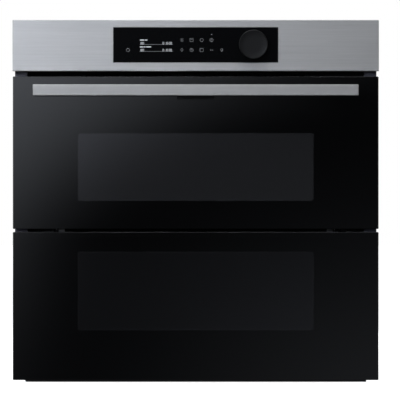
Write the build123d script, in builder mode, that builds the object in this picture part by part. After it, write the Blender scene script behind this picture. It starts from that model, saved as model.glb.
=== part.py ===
from build123d import *
import os

os.makedirs("parts", exist_ok=True)

# Built-in wall oven with a split door, in millimetres.
# Origin: centre of the chassis base underside. X to the right, Y to the back, Z up; the front faces -Y.

# Front: the control panel over the upper and lower door halves
PANEL_W = 595.0
PANEL_H = 83.0
DOOR_W = 594.0
UPPER_H = 247.5
LOWER_H = 240.5
VENT_GAP = 9.0
SPLIT_GAP = 5.0
DOOR_Z0 = 4.0
FRONT_PROUD = 21.0
GLASS = 4.0

# Chassis
BODY_W = 556.0
PANEL_RISE = 10.0  # the control panel stands this far above the body
BODY_D = 549.0
SHEET = 1.2
RECESS = 21.5  # the front frame's face lies this far behind the cabinet front
FLANGE_X0 = 274.0
FLANGE_W = 20.0
TRIM = 1.2
SCREW_INSET = 10.0
SCREW_R = 2.75
SCREW_Z = (100.0, 490.0)

# Cavity and what lines it
CAVITY_W = 470.0
CAVITY_H = 370.0
REAR_SPACE = 94.5  # from the cavity's rear wall to the rear cover's outside
CAVITY_Z0 = 63.0
LINER = 1.2
INSULATION = 20.0
ELEMENT_SPACE = 8.0
GASKET_W = 10.0

# Doors
DOOR_SIDE = 29.0  # from the glass's edge in to the pressed frame
DOOR_SHEET = 2.0
SEAL_GAP = 3.0
WINDOW_W = 382.0
FRAME_LAP = 15.0  # the frame's opening is this much larger than the window on each side
LOWER_WINDOW = (85.5, 212.0)
UPPER_WINDOW = (295.5, 404.5)
PANE = 3.0
INNER_PANE = 4.0
PANE_LAP = 6.0
RAIL_W = 10.0

# Hinges: each axis behind the front face and above its own door half's lower edge
HINGE_BEHIND = 9.0
HINGE_UP = 11.0
PIN_R = 2.5
KNUCKLE_R = 4.5
ARM_X = 250.0
ARM_W = 8.0
MID_BEHIND = 9.0
MID_UP = 9.0
MID_KNUCKLE_R = 4.5
RUN_FIT = 0.05
SIDE_PLAY = 0.3

# Handle and release lever
HANDLE_L = 527.0
HANDLE_H = 18.0
HANDLE_T = 10.0
HANDLE_GAP = 32.0
HANDLE_DROP = 31.5  # the bar's lower edge below the top of the upper door
POST_W = 50.0
POST_H = 11.0
POST_INSET = 7.0
LEVER_W = 60.0
LEVER_REACH = 25.0

# Control panel
DISPLAY_W = 268.4
DISPLAY_H = 58.0
DISPLAY_T = 3.0
DISPLAY_PROUD = 0.4
DISPLAY_RISE = 0.9  # the display's centre above the panel's
KNOB_R = 23.8
KNOB_X = 93.7
KNOB_H = 15.0
KNOB_CLEAR = 0.9
KNOB_TRAVEL = 1.5

# Inside the cavity and the machine space
RING_SPACE = 8.5
FAN_CLEAR = 9.0
FAN_SPACE = 40.0
WIRE_R = 2.5
TOP_LEVEL_DROP = 68.0
LOW_LEVEL_RISE = 47.0
LOW_LEVEL_STEP = 62.0
DIVIDER_LEVEL_DROP = 6.0
DIVIDER_T = 4.0
DUCT_W = 360.0
DUCT_H = 20.0
BLOWER_R = 30.0
BLOWER_L = 200.0
BLOWER_Y = 150.0
BLOWER_CLEAR = 6.0
SHELL_GAP = 5.0
SHELL_END = 3.0
SHAFT_R = 3.0
GROMMET_R = 6.0
GROMMET_L = 10.0

# Planes worked out from the sizes above
niche_y = -BODY_D / 2
back_y = BODY_D / 2
face_y = niche_y - FRONT_PROUD
glass_y = face_y + GLASS
recess_y = niche_y + RECESS
frame_y = recess_y + SHEET
door_in_y = recess_y - SEAL_GAP
lower_top = DOOR_Z0 + LOWER_H
upper_z0 = lower_top + SPLIT_GAP
upper_top = upper_z0 + UPPER_H
panel_z0 = upper_top + VENT_GAP
panel_top = panel_z0 + PANEL_H
body_h = panel_top - PANEL_RISE
split_z = lower_top + SPLIT_GAP / 2
half_w = BODY_W / 2
cavity_x = CAVITY_W / 2
cavity_top = CAVITY_Z0 + CAVITY_H
cavity_back = back_y - REAR_SPACE
liner_x = cavity_x + LINER
liner_back = cavity_back + LINER
fan_cover_y = cavity_back - FAN_SPACE
frame_x = DOOR_W / 2 - DOOR_SIDE
hinge_y = face_y + HINGE_BEHIND
hinge_z = DOOR_Z0 + HINGE_UP
mid_y = face_y + MID_BEHIND
mid_z = upper_z0 + MID_UP
fan_z = (CAVITY_Z0 + CAVITY_H / 4, CAVITY_Z0 + 3 * CAVITY_H / 4)
ring_r = CAVITY_H / 4 - RING_SPACE
fan_r = ring_r - FAN_CLEAR
low_level = CAVITY_Z0 + LOW_LEVEL_RISE
tray_z = low_level + LOW_LEVEL_STEP
top_level = cavity_top - TOP_LEVEL_DROP
rack_z = (top_level + split_z - DIVIDER_LEVEL_DROP) / 2
sides = (-1, 1)


def block(x0, x1, y0, y1, z0, z1, mode=Mode.ADD):
    """Add a box between two corners to the part being built."""
    with Locations(((x0 + x1) / 2, (y0 + y1) / 2, (z0 + z1) / 2)):
        Box(abs(x1 - x0), abs(y1 - y0), abs(z1 - z0), mode=mode)


def rod_x(x0, x1, y, z, radius, mode=Mode.ADD):
    """Add a round bar along X."""
    with Locations(Location(((x0 + x1) / 2, y, z), (0, 90, 0))):
        Cylinder(radius, abs(x1 - x0), mode=mode)


def rod_y(x, y0, y1, z, radius, mode=Mode.ADD):
    """Add a round bar along Y."""
    with Locations(Location((x, (y0 + y1) / 2, z), (90, 0, 0))):
        Cylinder(radius, abs(y1 - y0), mode=mode)


def rod_z(x, y, z0, z1, radius, mode=Mode.ADD):
    """Add a round bar along Z."""
    with Locations((x, y, (z0 + z1) / 2)):
        Cylinder(radius, abs(z1 - z0), mode=mode)


# ---------------------------------------------------------------- chassis

side_z1 = body_h - SHEET
cover_y = back_y - SHEET

with BuildPart() as base_plate:
    block(-half_w, half_w, frame_y, back_y, 0, SHEET)
    for x in (-180, -60, 60, 180):
        block(x - 30, x + 30, 60, 66, -1, SHEET + 1, mode=Mode.SUBTRACT)
base_plate.part.label = "base_plate"
export_step(base_plate.part, "parts/base_plate.step")

LOUVRE_L = 60.0
LOUVRE_H = 4.0
LOUVRE_PITCH = 12.0
LOUVRE_Y = 150.0
LOUVRE_ROWS = 4


def side_panel_solid(side):
    """The side sheet with a short row of cooling louvres near the top rear."""
    x0 = side * (half_w - SHEET)
    block(x0, side * half_w, frame_y, cover_y, SHEET, side_z1)
    for row in range(LOUVRE_ROWS):
        z = body_h - 40 - row * LOUVRE_PITCH
        cut_x = side * (half_w + 1)
        block(x0 - side, cut_x, LOUVRE_Y, LOUVRE_Y + LOUVRE_L, z - LOUVRE_H, z, mode=Mode.SUBTRACT)


with BuildPart() as side_panels:
    for side in sides:
        side_panel_solid(side)
side_panels.part.label = "side_panels"
export_step(side_panels.part, "parts/side_panels.step")

with BuildPart() as top_cover:
    block(-half_w, half_w, frame_y, back_y, side_z1, body_h)
    for row in range(6):
        y = 60 + row * 2 * LOUVRE_PITCH
        for x in (-150, 0, 150):
            slot_x = (x - LOUVRE_L / 2, x + LOUVRE_L / 2)
            block(*slot_x, y, y + LOUVRE_H, side_z1 - 1, body_h + 1, mode=Mode.SUBTRACT)
top_cover.part.label = "top_cover"
export_step(top_cover.part, "parts/top_cover.step")

cable_x = half_w - 68
cable_z = body_h - 64

with BuildPart() as rear_cover:
    block(-half_w, half_w, cover_y, back_y, SHEET, side_z1)
    rod_y(cable_x, cover_y - 1, back_y + 1, cable_z, GROMMET_R + 4, mode=Mode.SUBTRACT)
    for row in range(5):
        z = body_h - 50 - row * LOUVRE_PITCH
        block(-90, 90, cover_y - 1, back_y + 1, z, z + LOUVRE_H, mode=Mode.SUBTRACT)
rear_cover.part.label = "rear_cover"
export_step(rear_cover.part, "parts/rear_cover.step")

flange_z0 = DOOR_Z0 + HINGE_UP + KNUCKLE_R + 2
flange_z1 = body_h - 4
trim_z1 = panel_z0 - 1
flange_x1 = FLANGE_X0 + FLANGE_W
screw_x = FLANGE_X0 + SCREW_INSET
duct_z1 = upper_top + VENT_GAP - 2
duct_z0 = duct_z1 - DUCT_H
arm_slot = ARM_W / 2 + 1

with BuildPart() as front_frame:
    block(-half_w + SHEET, half_w - SHEET, recess_y, frame_y, SHEET, side_z1)
    for side in sides:
        wall_x = side * (FLANGE_X0 + SHEET)
        block(side * FLANGE_X0, wall_x, niche_y - SHEET, recess_y, flange_z0, flange_z1)
        block(side * FLANGE_X0, side * flange_x1, niche_y - SHEET, niche_y, flange_z0, flange_z1)
        for z in SCREW_Z:
            rod_y(side * screw_x, niche_y - SHEET - 1, niche_y + 1, z, SCREW_R, mode=Mode.SUBTRACT)
        arm_z1 = hinge_z + KNUCKLE_R + 1
        slot_x0 = side * ARM_X - arm_slot
        slot_x1 = side * ARM_X + arm_slot
        block(slot_x0, slot_x1, recess_y - 1, frame_y + 1, DOOR_Z0, arm_z1, mode=Mode.SUBTRACT)
    block(-cavity_x, cavity_x, recess_y - 1, frame_y + 1, CAVITY_Z0, cavity_top, mode=Mode.SUBTRACT)
    outlet_x = DUCT_W / 2 - SHEET
    outlet_z = (duct_z0 + SHEET, duct_z1 - SHEET)
    block(-outlet_x, outlet_x, recess_y - 1, frame_y + 1, *outlet_z, mode=Mode.SUBTRACT)
front_frame.part.label = "front_frame"
export_step(front_frame.part, "parts/front_frame.step")


def side_trim_solid(side):
    """The plastic strip that faces the cabinet flange, with the countersunk cabinet screw holes."""
    trim_y = niche_y - SHEET
    block(side * FLANGE_X0, side * flange_x1, trim_y - TRIM, trim_y, flange_z0, trim_z1)
    for z in SCREW_Z:
        rod_y(side * screw_x, trim_y - TRIM - 1, trim_y + 1, z, SCREW_R, mode=Mode.SUBTRACT)


with BuildPart() as side_trims:
    for side in sides:
        side_trim_solid(side)
side_trims.part.label = "side_trims"
export_step(side_trims.part, "parts/side_trims.step")

# ---------------------------------------------------------------- cavity

MOTOR_R = 24.0
MOTOR_L = 62.0
MOTOR_CORE = 30.0
MOTOR_HOLE_R = 10.0
LAMP_Y = 60.0
LAMP_R = 17.0
PROBE_Y = 20.0
PROBE_R = 3.0
PROBE_DROP = 45.0
GRILL_DROP = 16.0
lamp_z = (CAVITY_Z0 + CAVITY_H * 0.3, CAVITY_Z0 + CAVITY_H * 0.8)
probe_z = cavity_top - PROBE_DROP
grill_z = cavity_top - GRILL_DROP
GRILL_R = 3.25
GRILL_TAIL_X = 60.0

with BuildPart() as cavity_liner:
    block(-liner_x, liner_x, frame_y, liner_back, CAVITY_Z0 - LINER, cavity_top + LINER)
    block(-cavity_x, cavity_x, frame_y - 1, cavity_back, CAVITY_Z0, cavity_top, mode=Mode.SUBTRACT)
    for z in fan_z:
        rod_y(0, cavity_back - 1, liner_back + 1, z, MOTOR_HOLE_R, mode=Mode.SUBTRACT)
    for z in lamp_z:
        rod_x(cavity_x - 1, liner_x + 1, LAMP_Y, z, LAMP_R, mode=Mode.SUBTRACT)
    rod_x(-liner_x - 1, -cavity_x + 1, PROBE_Y, probe_z, PROBE_R, mode=Mode.SUBTRACT)
    for x in (-GRILL_TAIL_X, GRILL_TAIL_X):
        rod_y(x, cavity_back - 1, liner_back + 1, grill_z, GRILL_R, mode=Mode.SUBTRACT)
cavity_liner.part.label = "cavity_liner"
export_step(cavity_liner.part, "parts/cavity_liner.step")

wool_x = liner_x + INSULATION
wool_y = liner_back + INSULATION
wool_z0 = CAVITY_Z0 - LINER - ELEMENT_SPACE - INSULATION
wool_z1 = cavity_top + LINER + INSULATION

with BuildPart() as insulation_blanket:
    block(-wool_x, wool_x, frame_y, wool_y, wool_z0, wool_z1)
    hollow_z0 = CAVITY_Z0 - LINER - ELEMENT_SPACE
    block(-liner_x, liner_x, frame_y - 1, liner_back, hollow_z0, cavity_top + LINER, mode=Mode.SUBTRACT)
    for z in fan_z:
        rod_y(0, liner_back - 1, wool_y + 1, z, MOTOR_R + 2, mode=Mode.SUBTRACT)
    for z in lamp_z:
        rod_x(liner_x - 1, wool_x + 1, LAMP_Y, z, LAMP_R + 4, mode=Mode.SUBTRACT)
    rod_x(-wool_x - 1, -liner_x + 1, PROBE_Y, probe_z, PROBE_R + 3, mode=Mode.SUBTRACT)
    for x in (-GRILL_TAIL_X, GRILL_TAIL_X):
        rod_y(x, liner_back - 1, wool_y + 1, grill_z, 2 * GRILL_R, mode=Mode.SUBTRACT)
insulation_blanket.part.label = "insulation_blanket"
export_step(insulation_blanket.part, "parts/insulation_blanket.step")

gasket_x = cavity_x + 2
GASKET_CLEAR = 0.3
gasket_t = SEAL_GAP - GASKET_CLEAR

with BuildPart() as cavity_gasket:
    with BuildSketch(Plane.XZ.offset(-recess_y)):
        with Locations((0, (CAVITY_Z0 + cavity_top) / 2)):
            RectangleRounded(2 * (gasket_x + GASKET_W), CAVITY_H + 4 + 2 * GASKET_W, 18)
            RectangleRounded(2 * gasket_x, CAVITY_H + 4, 10, mode=Mode.SUBTRACT)
    extrude(amount=gasket_t)
cavity_gasket.part.label = "cavity_gasket"
export_step(cavity_gasket.part, "parts/cavity_gasket.step")

# Side ladders: each level is a pair of wires that a rack's edge slides between
LEVEL_GAP = 12.0
divider_z = (split_z - DIVIDER_T / 2, split_z + DIVIDER_T / 2)
level_tops = (low_level, tray_z, divider_z[0], rack_z, top_level)
ladder_x = cavity_x - 6
wire_y = (recess_y + 24, fan_cover_y - 12)


def rack_support_solid(side):
    """A side ladder of round wire with two uprights and five levels of paired runners."""
    x = side * ladder_x
    for y in (wire_y[0] + 20, (wire_y[0] + wire_y[1]) / 2, wire_y[1] - 20):
        rod_z(x, y, CAVITY_Z0 + 16, cavity_top - 34, WIRE_R)
    for level_z in level_tops:
        for dz in (0, LEVEL_GAP):
            rod_y(x - side * WIRE_R, wire_y[0], wire_y[1], level_z - WIRE_R + dz, WIRE_R)
    for y in (wire_y[0] + 20, wire_y[1] - 20):
        for z in (CAVITY_Z0 + 26, cavity_top - 44):
            rod_x(x, side * cavity_x, y, z, WIRE_R)


with BuildPart() as rack_supports:
    for side in sides:
        rack_support_solid(side)
rack_supports.part.label = "rack_supports"
export_step(rack_supports.part, "parts/rack_supports.step")

RACK_WIRE_R = 2.5
RACK_ROD_R = 1.5
RACK_RODS = 21
rack_x = ladder_x - WIRE_R - RACK_WIRE_R - 0.3
rack_y = (wire_y[0] + 6, wire_y[1] - 4)

with BuildPart() as wire_rack:
    z = rack_z + RACK_WIRE_R
    for side in sides:
        rod_y(side * rack_x, *rack_y, z, RACK_WIRE_R)
    for y in (rack_y[0], (rack_y[0] + rack_y[1]) / 2, rack_y[1]):
        rod_x(-rack_x, rack_x, y, z, RACK_WIRE_R)
    pitch = 2 * rack_x / (RACK_RODS + 1)
    for index in range(1, RACK_RODS + 1):
        rod_y(-rack_x + index * pitch, *rack_y, z + 2, RACK_ROD_R)
wire_rack.part.label = "wire_rack"
export_step(wire_rack.part, "parts/wire_rack.step")

TRAY_DEPTH = 28.0
TRAY_WALL = 1.2
tray_x = ladder_x - 16
tray_top = tray_z + TRAY_WALL

with BuildPart() as baking_tray:
    tray_mid = (rack_y[0] + rack_y[1]) / 2
    tray_d = rack_y[1] - rack_y[0]
    with BuildSketch(Plane.XY.offset(tray_top)):
        with Locations((0, tray_mid)):
            RectangleRounded(2 * tray_x, tray_d - 20, 22)
    extrude(amount=-TRAY_DEPTH)
    with BuildSketch(Plane.XY.offset(tray_top)):
        with Locations((0, tray_mid)):
            RectangleRounded(2 * rack_x, tray_d, 12)
    extrude(amount=-TRAY_WALL)
    with BuildSketch(Plane.XY.offset(tray_top)):
        with Locations((0, tray_mid)):
            RectangleRounded(2 * (tray_x - TRAY_WALL), tray_d - 20 - 2 * TRAY_WALL, 20)
    extrude(amount=-TRAY_DEPTH + TRAY_WALL, mode=Mode.SUBTRACT)
baking_tray.part.label = "baking_tray"
export_step(baking_tray.part, "parts/baking_tray.step")

DIVIDER_LIP = 9.0

with BuildPart() as cavity_divider:
    block(-rack_x, rack_x, recess_y + 8, fan_cover_y - 4, *divider_z)
    lip_z = (split_z - DIVIDER_LIP, split_z + DIVIDER_LIP)
    block(-rack_x + 10, rack_x - 10, recess_y + 2, recess_y + 8, *lip_z)
cavity_divider.part.label = "cavity_divider"
export_step(cavity_divider.part, "parts/cavity_divider.step")

# ---------------------------------------------------------------- heating and fans

GRILL_BEND = 16.0
GRILL_FIT = 0.2

with BuildPart() as grill_element:
    grill_y0 = recess_y + 60
    grill_y1 = fan_cover_y - 40
    tail_y = wool_y + 6
    right = [(GRILL_TAIL_X, tail_y), (GRILL_TAIL_X, grill_y0), (115, grill_y0)]
    right += [(115, grill_y1), (190, grill_y1), (190, grill_y0 - 32)]
    left = [(-x, y) for x, y in reversed(right)]
    with BuildLine(Plane.XY.offset(grill_z)) as grill_line:
        FilletPolyline(*right, *left, radius=GRILL_BEND)
    with BuildSketch(Plane(origin=(GRILL_TAIL_X, tail_y, grill_z), x_dir=(1, 0, 0), z_dir=(0, -1, 0))):
        Circle(GRILL_R - GRILL_FIT)
    sweep()
grill_element.part.label = "grill_element"
export_step(grill_element.part, "parts/grill_element.step")

BASE_R = 3.0
base_z = CAVITY_Z0 - LINER - BASE_R

with BuildPart() as base_element:
    right = [(140, 100), (140, -160), (60, -160), (60, 60)]
    left = [(-x, y) for x, y in reversed(right)]
    with BuildLine(Plane.XY.offset(base_z)):
        FilletPolyline(*right, *left, radius=30)
    with BuildSketch(Plane(origin=(140, 100, base_z), x_dir=(1, 0, 0), z_dir=(0, -1, 0))):
        Circle(BASE_R)
    sweep()
base_element.part.label = "base_element"
export_step(base_element.part, "parts/base_element.step")

RING_TUBE = 3.25


def ring_element_solid(z):
    """A closed ring heater around a fan."""
    ring_y = cavity_back - FAN_SPACE / 2
    with Locations(Location((0, ring_y, z), (90, 0, 0))):
        Torus(ring_r, RING_TUBE)


with BuildPart() as ring_elements:
    for z in fan_z:
        ring_element_solid(z)
ring_elements.part.label = "ring_elements"
export_step(ring_elements.part, "parts/ring_elements.step")

COVER_SHEET = 1.2
COVER_X = 222.0
GRILLE_SLOTS = 14
SIDE_SLOT_PITCH = 46.0
SIDE_SLOT_MARGIN = 50.0

with BuildPart() as fan_cover:
    cover_z0 = CAVITY_Z0 + 8
    cover_z1 = cavity_top - 26
    cover_mid = (cover_z0 + cover_z1) / 2
    with BuildSketch(Plane.XZ.offset(-fan_cover_y)):
        with Locations((0, cover_mid)):
            RectangleRounded(2 * COVER_X, cover_z1 - cover_z0, 14)
        for z in fan_z:
            with Locations((0, z)):
                Circle(7, mode=Mode.SUBTRACT)
            with Locations((0, z)):
                with PolarLocations(fan_r * 0.55, GRILLE_SLOTS):
                    SlotOverall(fan_r * 0.6, 6, mode=Mode.SUBTRACT)
        with Locations((-COVER_X + 14, cover_mid), (COVER_X - 14, cover_mid)):
            side_slots = int((cover_z1 - cover_z0 - SIDE_SLOT_MARGIN) / SIDE_SLOT_PITCH) + 1
            with GridLocations(0, SIDE_SLOT_PITCH, 1, side_slots):
                SlotOverall(30, 8, rotation=90, mode=Mode.SUBTRACT)
    extrude(amount=-COVER_SHEET)
    for side in sides:
        flange_x = side * (COVER_X - COVER_SHEET)
        leg_y = fan_cover_y + COVER_SHEET
        block(flange_x, side * COVER_X, leg_y, cavity_back, cover_z0 + 20, cover_z1 - 20)
fan_cover.part.label = "fan_cover"
export_step(fan_cover.part, "parts/fan_cover.step")

BLADES = 18
FAN_DISC = 1.2
fan_y0 = fan_cover_y + 8
fan_y1 = cavity_back - 7
AXLE_R = 4.0


def convection_fan(z):
    """A radial wheel: back disc, ring of straight blades and a hub bored for the motor axle."""
    with BuildPart() as wheel:
        with BuildSketch(Plane.XZ.offset(-fan_y1)):
            with Locations((0, z)):
                Circle(fan_r)
                Circle(AXLE_R, mode=Mode.SUBTRACT)
        extrude(amount=FAN_DISC)
        with BuildSketch(Plane.XZ.offset(-fan_y1 + FAN_DISC)):
            with Locations((0, z)):
                Circle(12)
                Circle(AXLE_R, mode=Mode.SUBTRACT)
                with PolarLocations(fan_r - 11, BLADES):
                    Rectangle(20, 1.5)
        extrude(amount=fan_y1 - fan_y0 - FAN_DISC)
    return wheel


lower_fan = convection_fan(fan_z[0])
lower_fan.part.label = "lower_fan"
export_step(lower_fan.part, "parts/lower_fan.step")

upper_fan = convection_fan(fan_z[1])
upper_fan.part.label = "upper_fan"
export_step(upper_fan.part, "parts/upper_fan.step")

motor_y0 = liner_back
motor_y1 = liner_back + MOTOR_L


def fan_motor_solid(z):
    """A small shaded-pole motor behind the liner, with the axle that the fan turns on."""
    rod_y(0, motor_y0, motor_y0 + 4, z, MOTOR_R)
    rod_y(0, motor_y0 + 4, motor_y1, z, MOTOR_R - 4)
    core_y = (motor_y0 + INSULATION + 6, motor_y1 - 8)
    block(-MOTOR_CORE, MOTOR_CORE, *core_y, z - MOTOR_CORE, z + MOTOR_CORE)
    rod_y(0, fan_y0, motor_y0 + 1, z, AXLE_R - RUN_FIT)


with BuildPart() as fan_motors:
    for z in fan_z:
        fan_motor_solid(z)
fan_motors.part.label = "fan_motors"
export_step(fan_motors.part, "parts/fan_motors.step")

LENS_T = 5.0

with BuildPart() as lamp_holders:
    for z in lamp_z:
        rod_x(liner_x, wool_x + 10, LAMP_Y, z, LAMP_R + 3)
        rod_x(liner_x - 1, liner_x + 12, LAMP_Y, z, LAMP_R - 2, mode=Mode.SUBTRACT)
lamp_holders.part.label = "lamp_holders"
export_step(lamp_holders.part, "parts/lamp_holders.step")

with BuildPart() as lamp_lenses:
    for z in lamp_z:
        rod_x(cavity_x - LENS_T, liner_x, LAMP_Y, z, LAMP_R)
lamp_lenses.part.label = "lamp_lenses"
export_step(lamp_lenses.part, "parts/lamp_lenses.step")

with BuildPart() as temperature_probe:
    rod_x(-wool_x - 8, -cavity_x + 40, PROBE_Y, probe_z, PROBE_R)
    rod_x(-liner_x - 3, -liner_x, PROBE_Y, probe_z, PROBE_R + 2.5)
temperature_probe.part.label = "temperature_probe"
export_step(temperature_probe.part, "parts/temperature_probe.step")

# ---------------------------------------------------------------- cooling and electrics

duct_x = DUCT_W / 2
blower_z = duct_z1 + BLOWER_R + BLOWER_CLEAR
shell_r = BLOWER_R + SHELL_GAP
blower_half = BLOWER_L / 2

with BuildPart() as cooling_duct:
    block(-duct_x, duct_x, frame_y, BLOWER_Y + 20, duct_z0, duct_z1)
    duct_in = duct_x - SHEET
    air_z = (duct_z0 + SHEET, duct_z1 - SHEET)
    throat = (-blower_half, blower_half, BLOWER_Y - 18, BLOWER_Y + 8)
    block(-duct_in, duct_in, frame_y - 1, BLOWER_Y + 10, *air_z, mode=Mode.SUBTRACT)
    shell_x = blower_half + SHELL_END
    rod_x(-shell_x, shell_x, BLOWER_Y, blower_z, shell_r)
    block(-shell_x, shell_x, BLOWER_Y - 22, BLOWER_Y + 12, duct_z1, blower_z)
    rod_x(-blower_half - 1, blower_half + 1, BLOWER_Y, blower_z, shell_r - SHEET, mode=Mode.SUBTRACT)
    block(*throat, duct_z1 - 2, blower_z, mode=Mode.SUBTRACT)
    intake = (BLOWER_Y + 14, BLOWER_Y + 60, blower_z - 20, blower_z + 22)
    block(-blower_half, blower_half, *intake, mode=Mode.SUBTRACT)
    rod_x(-shell_x - 1, shell_x + 1, BLOWER_Y, blower_z, SHAFT_R + RUN_FIT, mode=Mode.SUBTRACT)
cooling_duct.part.label = "cooling_duct"
export_step(cooling_duct.part, "parts/cooling_duct.step")

VANES = 24

with BuildPart() as blower_impeller:
    with BuildSketch(Plane.YZ.offset(-blower_half + 2)):
        with Locations((BLOWER_Y, blower_z)):
            with PolarLocations(BLOWER_R - 5, VANES):
                Rectangle(8, 1.2, rotation=25)
    extrude(amount=BLOWER_L - 4)
    for x in (-blower_half + 2, 0, blower_half - 2):
        rod_x(x - 1.2, x + 1.2, BLOWER_Y, blower_z, BLOWER_R)
    rod_x(-blower_half - SHELL_END, blower_half + SHELL_END + 12, BLOWER_Y, blower_z, SHAFT_R)
blower_impeller.part.label = "blower_impeller"
export_step(blower_impeller.part, "parts/blower_impeller.step")

with BuildPart() as blower_motor:
    motor_x = blower_half + SHELL_END
    block(motor_x + 4, motor_x + 34, BLOWER_Y - 24, BLOWER_Y + 24, blower_z - 24, blower_z + 24)
    rod_x(motor_x, motor_x + 4, BLOWER_Y, blower_z, 20)
    rod_x(motor_x - 1, motor_x + 14, BLOWER_Y, blower_z, SHAFT_R + RUN_FIT, mode=Mode.SUBTRACT)
blower_motor.part.label = "blower_motor"
export_step(blower_motor.part, "parts/blower_motor.step")

board_z = duct_z1 + 4

with BuildPart() as power_board:
    block(-235, -60, -120, 40, board_z, board_z + 1.6)
    for x, y in ((-225, -110), (-70, -110), (-225, 30), (-70, 30)):
        rod_z(x, y, duct_z1 if x > -duct_x else board_z - 4, board_z, 3)
    block(-220, -180, -90, -40, board_z + 1.6, board_z + 30)
    for index in range(4):
        x = -165 + index * 24
        block(x, x + 18, -20, 10, board_z + 1.6, board_z + 17)
    rod_z(-110, -80, board_z + 1.6, board_z + 26, 11)
power_board.part.label = "power_board"
export_step(power_board.part, "parts/power_board.step")

with BuildPart() as terminal_block:
    block(cable_x - 28, cable_x + 28, cover_y - 62, cover_y - 32, cable_z - 20, cable_z - 4)
    for index in range(5):
        x = cable_x - 20 + index * 10
        rod_z(x, cover_y - 47, cable_z - 12, cable_z - 3, 3, mode=Mode.SUBTRACT)
    block(cable_x - 28, half_w - SHEET, cover_y - 62, cover_y - 32, cable_z - 22, cable_z - 20)
terminal_block.part.label = "terminal_block"
export_step(terminal_block.part, "parts/terminal_block.step")

with BuildPart() as cable_grommet:
    grommet_y = back_y + 2.4
    rod_y(cable_x, grommet_y - GROMMET_L, grommet_y, cable_z, GROMMET_R + 4)
    rod_y(cable_x, back_y, grommet_y, cable_z, GROMMET_R + 8)
    rod_y(cable_x, cover_y - 3, cover_y, cable_z, GROMMET_R + 7)
    rod_y(cable_x, grommet_y - GROMMET_L - 1, grommet_y + 1, cable_z, GROMMET_R, mode=Mode.SUBTRACT)
cable_grommet.part.label = "cable_grommet"
export_step(cable_grommet.part, "parts/cable_grommet.step")

# ---------------------------------------------------------------- control panel

PANEL_SHEET = 1.5
PANEL_EDGE = 0.8
panel_mid_z = panel_z0 + PANEL_H / 2
display_z = panel_mid_z + DISPLAY_RISE
display_x = DISPLAY_W / 2
knob_z = display_z + 0.6
fascia_back = niche_y - SHEET
housing_y0 = face_y - DISPLAY_PROUD + DISPLAY_T
housing_z = (panel_z0 + 4, body_h - 5)
BOARD_T = 1.6
board_y = housing_y0 + 12
STEM_R = 3.0
KNOB_BORE_DEPTH = KNOB_H / 2
BUSH_R = 6.0

with BuildPart() as control_fascia:
    panel_mid = (0, (face_y + fascia_back) / 2, panel_mid_z)
    with Locations(panel_mid):
        Box(PANEL_W, fascia_back - face_y, PANEL_H)
    front_edges = control_fascia.edges().group_by(Axis.Y)[0]
    fillet(front_edges, PANEL_EDGE)
    inner_y = face_y + PANEL_SHEET
    panel_in = PANEL_W / 2 - PANEL_SHEET
    hollow_z = (panel_z0 + PANEL_SHEET, panel_top - PANEL_SHEET)
    block(-panel_in, panel_in, inner_y, fascia_back + 1, *hollow_z, mode=Mode.SUBTRACT)
    window_z = (display_z - DISPLAY_H / 2, display_z + DISPLAY_H / 2)
    block(-display_x, display_x, face_y - 1, inner_y + 1, *window_z, mode=Mode.SUBTRACT)
control_fascia.part.label = "control_fascia"
export_step(control_fascia.part, "parts/control_fascia.step")

GLASS_FIT = 0.4

with BuildPart() as display_glass:
    pane_x = display_x - GLASS_FIT
    pane_z = (window_z[0] + GLASS_FIT, window_z[1] - GLASS_FIT)
    block(-pane_x, pane_x, face_y - DISPLAY_PROUD, housing_y0, *pane_z)
    rod_y(KNOB_X, face_y - 1, housing_y0 + 1, knob_z, BUSH_R, mode=Mode.SUBTRACT)
display_glass.part.label = "display_glass"
export_step(display_glass.part, "parts/display_glass.step")

with BuildPart() as control_housing:
    housing_x = PANEL_W / 2 - 30
    block(-housing_x, housing_x, recess_y - 2, recess_y, *housing_z)
    shelf_x = display_x + 12
    block(-shelf_x, shelf_x, housing_y0, recess_y - 2, window_z[0] - 6, window_z[1] + 6)
    well_z = (window_z[0] + 2, window_z[1] - 2)
    block(-display_x + 4, display_x - 4, housing_y0 - 1, recess_y - 4, *well_z, mode=Mode.SUBTRACT)
    for side in sides:
        for x in (shelf_x + 20, housing_x - 20):
            rod_y(side * x, inner_y, recess_y - 2, display_z, 5)
control_housing.part.label = "control_housing"
export_step(control_housing.part, "parts/control_housing.step")

with BuildPart() as display_board:
    board_x = display_x - 4
    block(-board_x, board_x, board_y, board_y + BOARD_T, window_z[0] + 2, window_z[1] - 2)
    lcd_x = (-display_x + 36, -display_x + 104)
    block(*lcd_x, housing_y0, board_y, display_z - 14, display_z + 14)
    block(KNOB_X - 14, KNOB_X + 14, housing_y0 + 0.5, board_y, knob_z - 14, knob_z + 14)
    rod_y(KNOB_X, face_y + 1, board_y + BOARD_T + 1, knob_z, STEM_R + RUN_FIT, mode=Mode.SUBTRACT)
display_board.part.label = "display_board"
export_step(display_board.part, "parts/display_board.step")

glass_front = face_y - DISPLAY_PROUD
knob_back = glass_front - KNOB_TRAVEL - KNOB_CLEAR

with BuildPart() as knob_shaft:
    rod_y(KNOB_X, knob_back + 1 - KNOB_BORE_DEPTH, board_y + BOARD_T + 2, knob_z, STEM_R)
knob_shaft.part.label = "knob_shaft"
export_step(knob_shaft.part, "parts/knob_shaft.step")

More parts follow.
